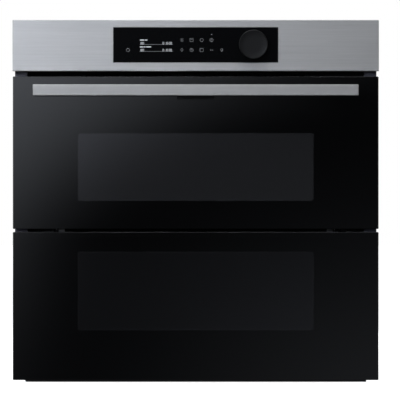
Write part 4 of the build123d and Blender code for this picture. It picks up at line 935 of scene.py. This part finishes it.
# Vanes across the warm-air outlet
duct_x, _, duct_z = corners("cooling_duct")
mouth_z = (duct_z[0] + 0.0035, duct_z[0] + 0.0165)
bm = bmesh.new()
VANE_COUNT = 30
for x in spaced(duct_x, 0.006, VANE_COUNT):
    add_box(bm, (x - 0.0005, x + 0.0005), (recess_y + 0.0015, recess_y + 0.012), mouth_z)
finish_mesh("outlet_vanes", bm, seal_and_shade_black, "chassis")

# Rope gasket of woven glass fibre, and spring clips that hold it at the corners
gasket_x, gasket_y, gasket_z = corners("cavity_gasket")
bm = bmesh.new()
rope_y = gasket_y[0] + 0.0012
rope_x = (gasket_x[0] + 0.005, gasket_x[1] - 0.005)
rope_z = (gasket_z[0] + 0.005, gasket_z[1] - 0.005)
rope = rounded_loop(*rope_x, *rope_z, 0.014, rope_y, 6)
add_tube(bm, rope, 0.0011, 8, True)
finish_mesh("gasket_rope", bm, woven_rope, "chassis", True)
bm = bmesh.new()
for x in (rope_x[0], 0, rope_x[1]):
    for z in rope_z:
        add_box(bm, (x - 0.004, x + 0.004), (gasket_y[0] + 0.0002, gasket_y[1] - 0.0004), (z - 0.0062, z + 0.0062))
finish_mesh("gasket_clips", bm, plain_steel, "chassis", False, 0.0003)

# ---------------------------------------------------------------- chassis sheets

side_x, side_y, side_z = corners("side_panels")
top_x, top_y, top_z = corners("top_cover")
rear_x, rear_y, rear_z = corners("rear_cover")
PRESS = 0.0012

bm = bmesh.new()
for side in SIDES:
    for z in (side_z[0] + 0.119, side_z[0] + 0.299):
        for y in (side_y[0] + 0.092, side_y[0] + 0.272):
            add_pad(bm, (side * side_x[1], y, z), (0.14, 0.13), (side, 0, 0), PRESS, 0.014, 0.005)
finish_mesh("side_pressings", bm, zinc, "chassis")

bm = bmesh.new()
for x in spaced(top_x, 0.088, 3):
    add_pad(bm, (x, top_y[0] + 0.132, top_z[1]), (0.12, 0.15), (0, 0, 1), PRESS, 0.014, 0.005)
finish_mesh("top_pressings", bm, zinc, "chassis")

bm = bmesh.new()
for x in spaced(rear_x, 0.098, 3):
    for z in (rear_z[0] + 0.139, rear_z[0] + 0.359):
        add_pad(bm, (x, rear_y[1], z), (0.13, 0.15), (0, 1, 0), PRESS, 0.014, 0.005)
finish_mesh("rear_pressings", bm, zinc, "chassis")

# Folded seams along the sheets' edges
bm = bmesh.new()
for side in SIDES:
    x = side * (side_x[1] - 0.0004)
    for y in (side_y[0] + 0.004, side_y[1] - 0.004):
        add_tube(bm, [(x, y, side_z[0] + 0.004), (x, y, side_z[1] - 0.004)], 0.0009, 8)
    seam_z = side_z[1] - 0.012
    add_tube(bm, [(x, side_y[0] + 0.006, seam_z), (x, side_y[1] - 0.006, seam_z)], 0.0008, 8)
finish_mesh("fold_seams", bm, zinc, "chassis", True)

# Sheet screws: sides, top and rear
bm = bmesh.new()
for side in SIDES:
    for y in (side_y[0] + 0.02, 0.0, side_y[1] - 0.02):
        for z in (side_z[0] + 0.03, side_z[1] - 0.02):
            add_screw(bm, (side * side_x[1], y, z), (side, 0, 0), 0.003, 0.0014)
for x in spaced(top_x, 0.038, 3):
    for y in (top_y[0] + 0.02, top_y[1] - 0.02):
        add_screw(bm, (x, y, top_z[1]), (0, 0, 1), 0.003, 0.0014)
for x in spaced(rear_x, 0.028, 4):
    for z in (rear_z[0] + 0.02, rear_z[1] - 0.015):
        add_screw(bm, (x, rear_y[1], z), (0, 1, 0), 0.003, 0.0016)
finish_mesh("sheet_screws", bm, plain_steel, "chassis", True)

# A blank rating plate, without lettering
bm = bmesh.new()
plate_x = (rear_x[0] + 0.016, rear_x[0] + 0.096)
add_box(bm, plate_x, (rear_y[1], rear_y[1] + 0.0004), (rear_z[1] - 0.123, rear_z[1] - 0.073))
finish_mesh("rating_plate", bm, plate_print, "chassis", False, 0.0001)

# Rims round the cabinet screws' holes in the side trims
trim_x, trim_y, trim_z = corners("side_trims")
bm = bmesh.new()
for side in SIDES:
    for z in (trim_z[0] + 0.0785, trim_z[1] - 0.015):
        add_ring(bm, (side * (trim_x[1] - 0.010), trim_y[0] + 0.0004, z), 0.0041, 0.0005, "Y", 32, 8)
finish_mesh("screw_hole_rims", bm, dark_plastic, "chassis", True)

# Dimples pressed in the base
base_x, base_y, base_z = corners("base_plate")
dimple = [(0.012, -0.0004), (0.010, 0.0008), (0.003, 0.001)]
bm = bmesh.new()
for x in spaced(base_x, 0.058, 2):
    for y in spaced(base_y, 0.06, 2):
        add_turned(bm, dimple, (x, y, base_z[1]), "Z", 32)
finish_mesh("base_dimples", bm, zinc, "chassis", True)

# ---------------------------------------------------------------- cavity

liner_x, liner_y, liner_z = corners("cavity_liner")
rack_x, rack_y, rack_z = corners("wire_rack")
tray_x, tray_y, tray_z = corners("baking_tray")
cover_x, cover_y, cover_z = corners("fan_cover")
ladder_x, ladder_y, ladder_z = corners("rack_supports")
rack_mid_y = (rack_y[0] + rack_y[1]) / 2
INNER_SHEET = 0.0012
inner_top = liner_z[1] - INNER_SHEET
inner_side = liner_x[1] - INNER_SHEET

bm = bmesh.new()
for side in SIDES:
    for deep in (0.082, 0.192, 0.312):
        spot = (side * (inner_side + 0.0004), liner_y[0] + deep, rack_z[1] + 0.036)
        add_pad(bm, spot, (0.07, 0.022), (-side, 0, 0), PRESS, 0.008, 0.003)
for x in (-0.12, 0.12):
    add_pad(bm, (x, rack_mid_y, inner_top + 0.0004), (0.10, 0.20), (0, 0, -1), PRESS, 0.02, 0.004)
add_pad(bm, (0, rack_mid_y, liner_z[0] + INNER_SHEET - 0.0004), (0.38, 0.28), (0, 0, 1), PRESS, 0.03, 0.006)
finish_mesh("liner_pressings", bm, black_enamel, "chassis")

# The fan cover: pressed rims round both grilles, and its screws
lower_fan_box = corners("lower_fan")
upper_fan_box = corners("upper_fan")
bm = bmesh.new()
for box in (lower_fan_box, upper_fan_box):
    centre = (0, cover_y[0], (box[2][0] + box[2][1]) / 2)
    radius = (box[0][1] - box[0][0]) / 2
    for share in (0.20, 0.93, 1.0):
        add_ring(bm, centre, radius * share, 0.0012, "Y", 90, 8)
finish_mesh("grille_rims", bm, black_enamel, "chassis", True)
bm = bmesh.new()
for x in spaced(cover_x, 0.037, 2):
    for z in (cover_z[0] + 0.014, cover_z[1] - 0.014):
        add_screw(bm, (x, cover_y[0], z), (0, -1, 0), 0.0042, 0.0022)
finish_mesh("fan_cover_screws", bm, plain_steel, "chassis", True)

# Fan hub nuts and blades' outer rings, which spin with the wheels
for body, box in (("lower_fan", lower_fan_box), ("upper_fan", upper_fan_box)):
    centre = (0, box[1][0], (box[2][0] + box[2][1]) / 2)
    radius = (box[0][1] - box[0][0]) / 2
    bm = bmesh.new()
    add_turned(bm, [(0.0068, 0.0), (0.0068, -0.003), (0.006, -0.0036), (0.002, -0.0036)], centre, "Y", 6)
    add_turned(bm, [(0.0085, 0.0), (0.0085, -0.0008), (0.005, -0.0009)], centre, "Y", 36)
    add_ring(bm, (0, box[1][0] + 0.0006, centre[2]), radius - 0.0012, 0.0006, "Y", 90, 6)
    finish_mesh(body + "_hub", bm, plain_steel, body, False)

# Lamp lenses: ribbed glass with a chromed ring
lens_x, lens_y, lens_z = corners("lamp_lenses")
lens_mid_y = (lens_y[0] + lens_y[1]) / 2
lens_r = (lens_y[1] - lens_y[0]) / 2
bm = bmesh.new()
rims = bmesh.new()
for z in (lens_z[0] + lens_r, lens_z[1] - lens_r):
    for share in (0.25, 0.45, 0.65):
        add_ring(bm, (lens_x[0], lens_mid_y, z), lens_r * share, 0.0007, "X", 60, 8)
    add_ring(rims, (lens_x[0] + 0.0004, lens_mid_y, z), lens_r * 0.88, 0.0011, "X", 60, 8)
finish_mesh("lens_ribs", bm, lamp_frosted, "chassis", True)
finish_mesh("lens_rings", rims, chrome, "chassis", True)

# Racks: weld beads where the wires cross, stop bends at the rear, and the ladders' end loops and nuts
rack_top = rack_z[1]
RACK_WIRE = 0.0025
RACK_GAPS = 22
weld = [(0.0009, -0.0013), (0.0019, -0.0004), (0.0019, 0.0004), (0.0009, 0.0013)]
bm = bmesh.new()
for x in spaced(rack_x, RACK_WIRE, RACK_GAPS + 1)[1:-1]:
    for y in (rack_y[0] + RACK_WIRE, rack_mid_y, rack_y[1] - RACK_WIRE):
        add_turned(bm, weld, (x, y, rack_top - 0.0022), "Y", 8)
finish_mesh("rack_welds", bm, chrome, "chassis", True)
bm = bmesh.new()
for side in SIDES:
    x = side * (rack_x[1] - RACK_WIRE)
    z = rack_top - 0.0035
    curve = [(x, rack_y[1] - 0.012, z), (x, rack_y[1] - 0.007, z + 0.004), (x, rack_y[1] - 0.002, z + 0.009)]
    add_tube(bm, curve, 0.0016, 8)
finish_mesh("rack_stops", bm, chrome, "chassis", True)
bm = bmesh.new()
levels = (liner_z[0] + 0.0482, tray_z[1] - 0.0012, divider_z[0] + 0.007, rack_z[0], liner_z[1] - 0.0692)
for side in SIDES:
    x = side * (ladder_x[1] - 0.0085)
    for z in levels:
        points = []
        for step in range(9):
            turn = math.pi * (step / 8 - 0.5)
            points.append((x, ladder_y[0] - 0.0058 * math.cos(turn), z + 0.0035 + 0.006 * math.sin(turn)))
        add_tube(bm, points, 0.0024, 8)
finish_mesh("ladder_loops", bm, chrome, "chassis", True)
bm = bmesh.new()
for side in SIDES:
    for y in (ladder_y[0] + 0.0205, ladder_y[1] - 0.0205):
        for z in (ladder_z[0] + 0.010, ladder_z[1] - 0.010):
            nut = [(r, -side * h) for r, h in ((0.007, 0), (0.007, 0.0016), (0.0055, 0.0026), (0.003, 0.003))]
            add_turned(bm, nut, (side * inner_side, y, z), "X", 6)
finish_mesh("ladder_nuts", bm, plain_steel, "chassis")

# The tray: rolled edge bead and floor ribs
bm = bmesh.new()
BEAD_IN = 0.0012
brim_x = (tray_x[0] + BEAD_IN, tray_x[1] - BEAD_IN)
brim_y = (tray_y[0] + BEAD_IN, tray_y[1] - BEAD_IN)
bead = [(p[0], p[2], tray_z[1] - 0.0002) for p in rounded_loop(*brim_x, *brim_y, 0.011, 0, 6)]
add_tube(bm, bead, 0.0011, 8, True)
finish_mesh("tray_bead", bm, black_enamel, "chassis", True)
bm = bmesh.new()
tray_mid_y = (tray_y[0] + tray_y[1]) / 2
for x in spaced(tray_x, 0.0837, 5):
    add_pad(bm, (x, tray_mid_y, tray_z[0] + 0.0011), (0.014, 0.24), (0, 0, 1), 0.0012, 0.006, 0.002)
finish_mesh("tray_ribs", bm, black_enamel, "chassis")

# The divider: two finger grips and pressed fields
bm = bmesh.new()
grip_z = divider_z[1]
for side in SIDES:
    x = side * 0.11
    loop = [(x + 0.028 * math.cos(a), divider_y[0] + 0.0035, grip_z + 0.0005 + 0.0006 * math.sin(a))
            for a in [math.pi * k / 10 for k in range(11)]]
    add_tube(bm, loop, 0.0012, 8)
finish_mesh("divider_grips", bm, plain_steel, "chassis", True)
bm = bmesh.new()
deck_top = (divider_z[0] + divider_z[1]) / 2 + 0.002
for x in spaced(divider_x, 0.0737, 4):
    add_pad(bm, (x, rack_mid_y, deck_top - 0.0003), (0.07, 0.26), (0, 0, 1), 0.0009, 0.012, 0.003)
finish_mesh("divider_pressings", bm, divider_steel, "chassis")

# The grill: hanger brackets of bent strip from the cavity's ceiling
grill_x, grill_y, grill_z = corners("grill_element")
bm = bmesh.new()
HANGER_HALF = 0.045
for x in spaced(grill_x, 0.0405, 2):
    for y in (grill_y[0] + 0.108, grill_y[0] + 0.268):
        strip_y = (y - 0.005, y + 0.005)
        add_box(bm, (x - HANGER_HALF, x + HANGER_HALF), strip_y, (grill_z[0] - 0.0018, grill_z[0] - 0.0004))
        for end in (x - HANGER_HALF, x + HANGER_HALF):
            add_box(bm, (end - 0.0006, end + 0.0006), strip_y, (grill_z[0] - 0.0018, inner_top + 0.0003))
finish_mesh("grill_hangers", bm, plain_steel, "chassis", False, 0.0002)

# The temperature probe's clip and rounded tip
probe_x, probe_y, probe_z = corners("temperature_probe")
probe_mid = ((probe_y[0] + probe_y[1]) / 2, (probe_z[0] + probe_z[1]) / 2)
bm = bmesh.new()
tip = [(0.003, 0.0), (0.0029, 0.0008), (0.0022, 0.002), (0.001, 0.0027)]
add_turned(bm, tip, (probe_x[1], *probe_mid), "X", 24)
clip_y = (probe_mid[0] - 0.009, probe_mid[0] + 0.009)
add_box(bm, (-inner_side, -inner_side + 0.0012), clip_y, (probe_mid[1] - 0.006, probe_mid[1] + 0.006))
finish_mesh("probe_tip", bm, chrome, "chassis", True)

# ---------------------------------------------------------------- doors' inner sides

low_frame = corners("lower_door_frame")
up_frame = corners("upper_door_frame")
inside_y = low_frame[1][1]
BEAD_INSET = 0.0055
VENTS = 14
for body, box, pane in (("lower_door", low_frame, lower_inner), ("upper_door", up_frame, upper_inner)):
    bm = bmesh.new()
    for x in spaced(box[0], 0.033, 2):
        for z in (pane[2][0] + 0.01, pane[2][1] - 0.01):
            add_screw(bm, (x, inside_y - 0.0003, z), (0, 1, 0), 0.0032, 0.0014)
    finish_mesh(body + "_screws", bm, plain_steel, body, True)
    bm = bmesh.new()
    bead_x = (pane[0][0] + BEAD_INSET, pane[0][1] - BEAD_INSET)
    bead_z = (pane[2][0] + BEAD_INSET, pane[2][1] - BEAD_INSET)
    loop = rounded_loop(*bead_x, *bead_z, 0.012, inside_y + 0.0001, 6)
    add_tube(bm, loop, 0.0008, 8, True)
    finish_mesh(body + "_pane_bead", bm, seal_and_shade_black, body, True)
    bm = bmesh.new()
    z = box[2][1] - (0.012 if body == "lower_door" else 0.03)
    for x in spaced(box[0], 0.138, VENTS):
        add_box(bm, (x - 0.006, x + 0.006), (inside_y - 0.0001, inside_y + 0.0003), (z - 0.0012, z + 0.0012))
    finish_mesh(body + "_vents", bm, seal_and_shade_black, body, False, 0.0001)

# Coil springs in the lower door's hinge cases: turns of wire in place of the plain sleeves
spring_x, spring_y, spring_z = corners("door_springs")
SPRING_TURNS = 26
bm = bmesh.new()
for side in SIDES:
    centre = (side * (spring_x[1] - 0.004), (spring_y[0] + spring_y[1]) / 2)
    points = []
    for step in range(SPRING_TURNS * 12 + 1):
        turn = 2 * math.pi * step / 12
        z = spring_z[0] + 0.0008 + (spring_z[1] - spring_z[0] - 0.0016) * step / (SPRING_TURNS * 12)
        points.append((centre[0] + 0.0034 * math.cos(turn), centre[1] + 0.0034 * math.sin(turn), z))
    add_tube(bm, points, 0.0006, 6)
coils = finish_mesh("spring_coils", bm, rod_steel, "lower_door", True, 0, ("door_springs",))
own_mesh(coils)

# Hinge pins' round heads
bm = bmesh.new()
pin_box = corners("hinge_pins")
for side in SIDES:
    x = side * (pin_box[0][1] - 0.0004)
    spot = (x, (pin_box[1][0] + pin_box[1][1]) / 2, pin_box[2][1] - 0.0025)
    add_turned(bm, [(0.0034, 0), (0.0034, side * 0.0006), (0.002, side * 0.0012)], spot, "X", 24)
finish_mesh("pin_heads", bm, plain_steel, "lower_door", True)

# ---------------------------------------------------------------- machine space

board_x, board_y, board_z = corners("power_board")
board_top = board_z[0] + 0.0056
can = [(0.004, 0), (0.004, 0.011), (0.0035, 0.0118), (0.001, 0.012)]
bm = bmesh.new()
for index in range(6):
    add_turned(bm, can, (board_x[0] + 0.020 + 0.022 * index, board_y[1] - 0.015, board_top), "Z", 20)
for index in range(5):
    x = board_x[0] + 0.105 + 0.012 * index
    add_box(bm, (x, x + 0.008), (board_y[0] + 0.005, board_y[0] + 0.013), (board_top, board_z[0] + 0.012))
finish_mesh("board_parts", bm, dark_plastic, "chassis", False, 0.0003)

term_x, term_y, term_z = corners("terminal_block")
bm = bmesh.new()
for index in range(5):
    x = term_x[0] + 0.008 + index * 0.010
    add_screw(bm, (x, (term_y[0] + term_y[1]) / 2, term_z[1] - 0.002), (0, 0, 1), 0.0022, 0.0016)
finish_mesh("terminal_screws", bm, plain_steel, "chassis", True)

grom_x, grom_y, grom_z = corners("cable_grommet")
grom_mid = ((grom_x[0] + grom_x[1]) / 2, (grom_z[0] + grom_z[1]) / 2)
grom_r = (grom_x[1] - grom_x[0]) / 2
bm = bmesh.new()
for share in (0.62, 0.78, 0.93):
    add_ring(bm, (grom_mid[0], grom_y[1] - 0.0004, grom_mid[1]), grom_r * share, 0.0004, "Y", 48, 6)
finish_mesh("grommet_rings", bm, rubber, "chassis", True)

_, motor_y, _ = corners("fan_motors")
bm = bmesh.new()
for z in (sum(lower_fan_box[2]) / 2, sum(upper_fan_box[2]) / 2):
    for dx in (-0.018, 0.018):
        add_ring(bm, (dx, motor_y[1] - 0.016, z), 0.009, 0.0028, "Z", 30, 8)
finish_mesh("motor_windings", bm, copper, "chassis", True)

blow_x, blow_y, blow_z = corners("blower_impeller")
axis_spot = ((blow_y[0] + blow_y[1]) / 2, (blow_z[0] + blow_z[1]) / 2)
blow_r = (blow_y[1] - blow_y[0]) / 2
bm = bmesh.new()
for index in range(5):
    x = blow_x[0] + 0.005 + 0.049 * index
    add_ring(bm, (x, *axis_spot), blow_r - 0.001, 0.0008, "X", 60, 6)
finish_mesh("impeller_rings", bm, cast_aluminium, "blower_impeller", True)
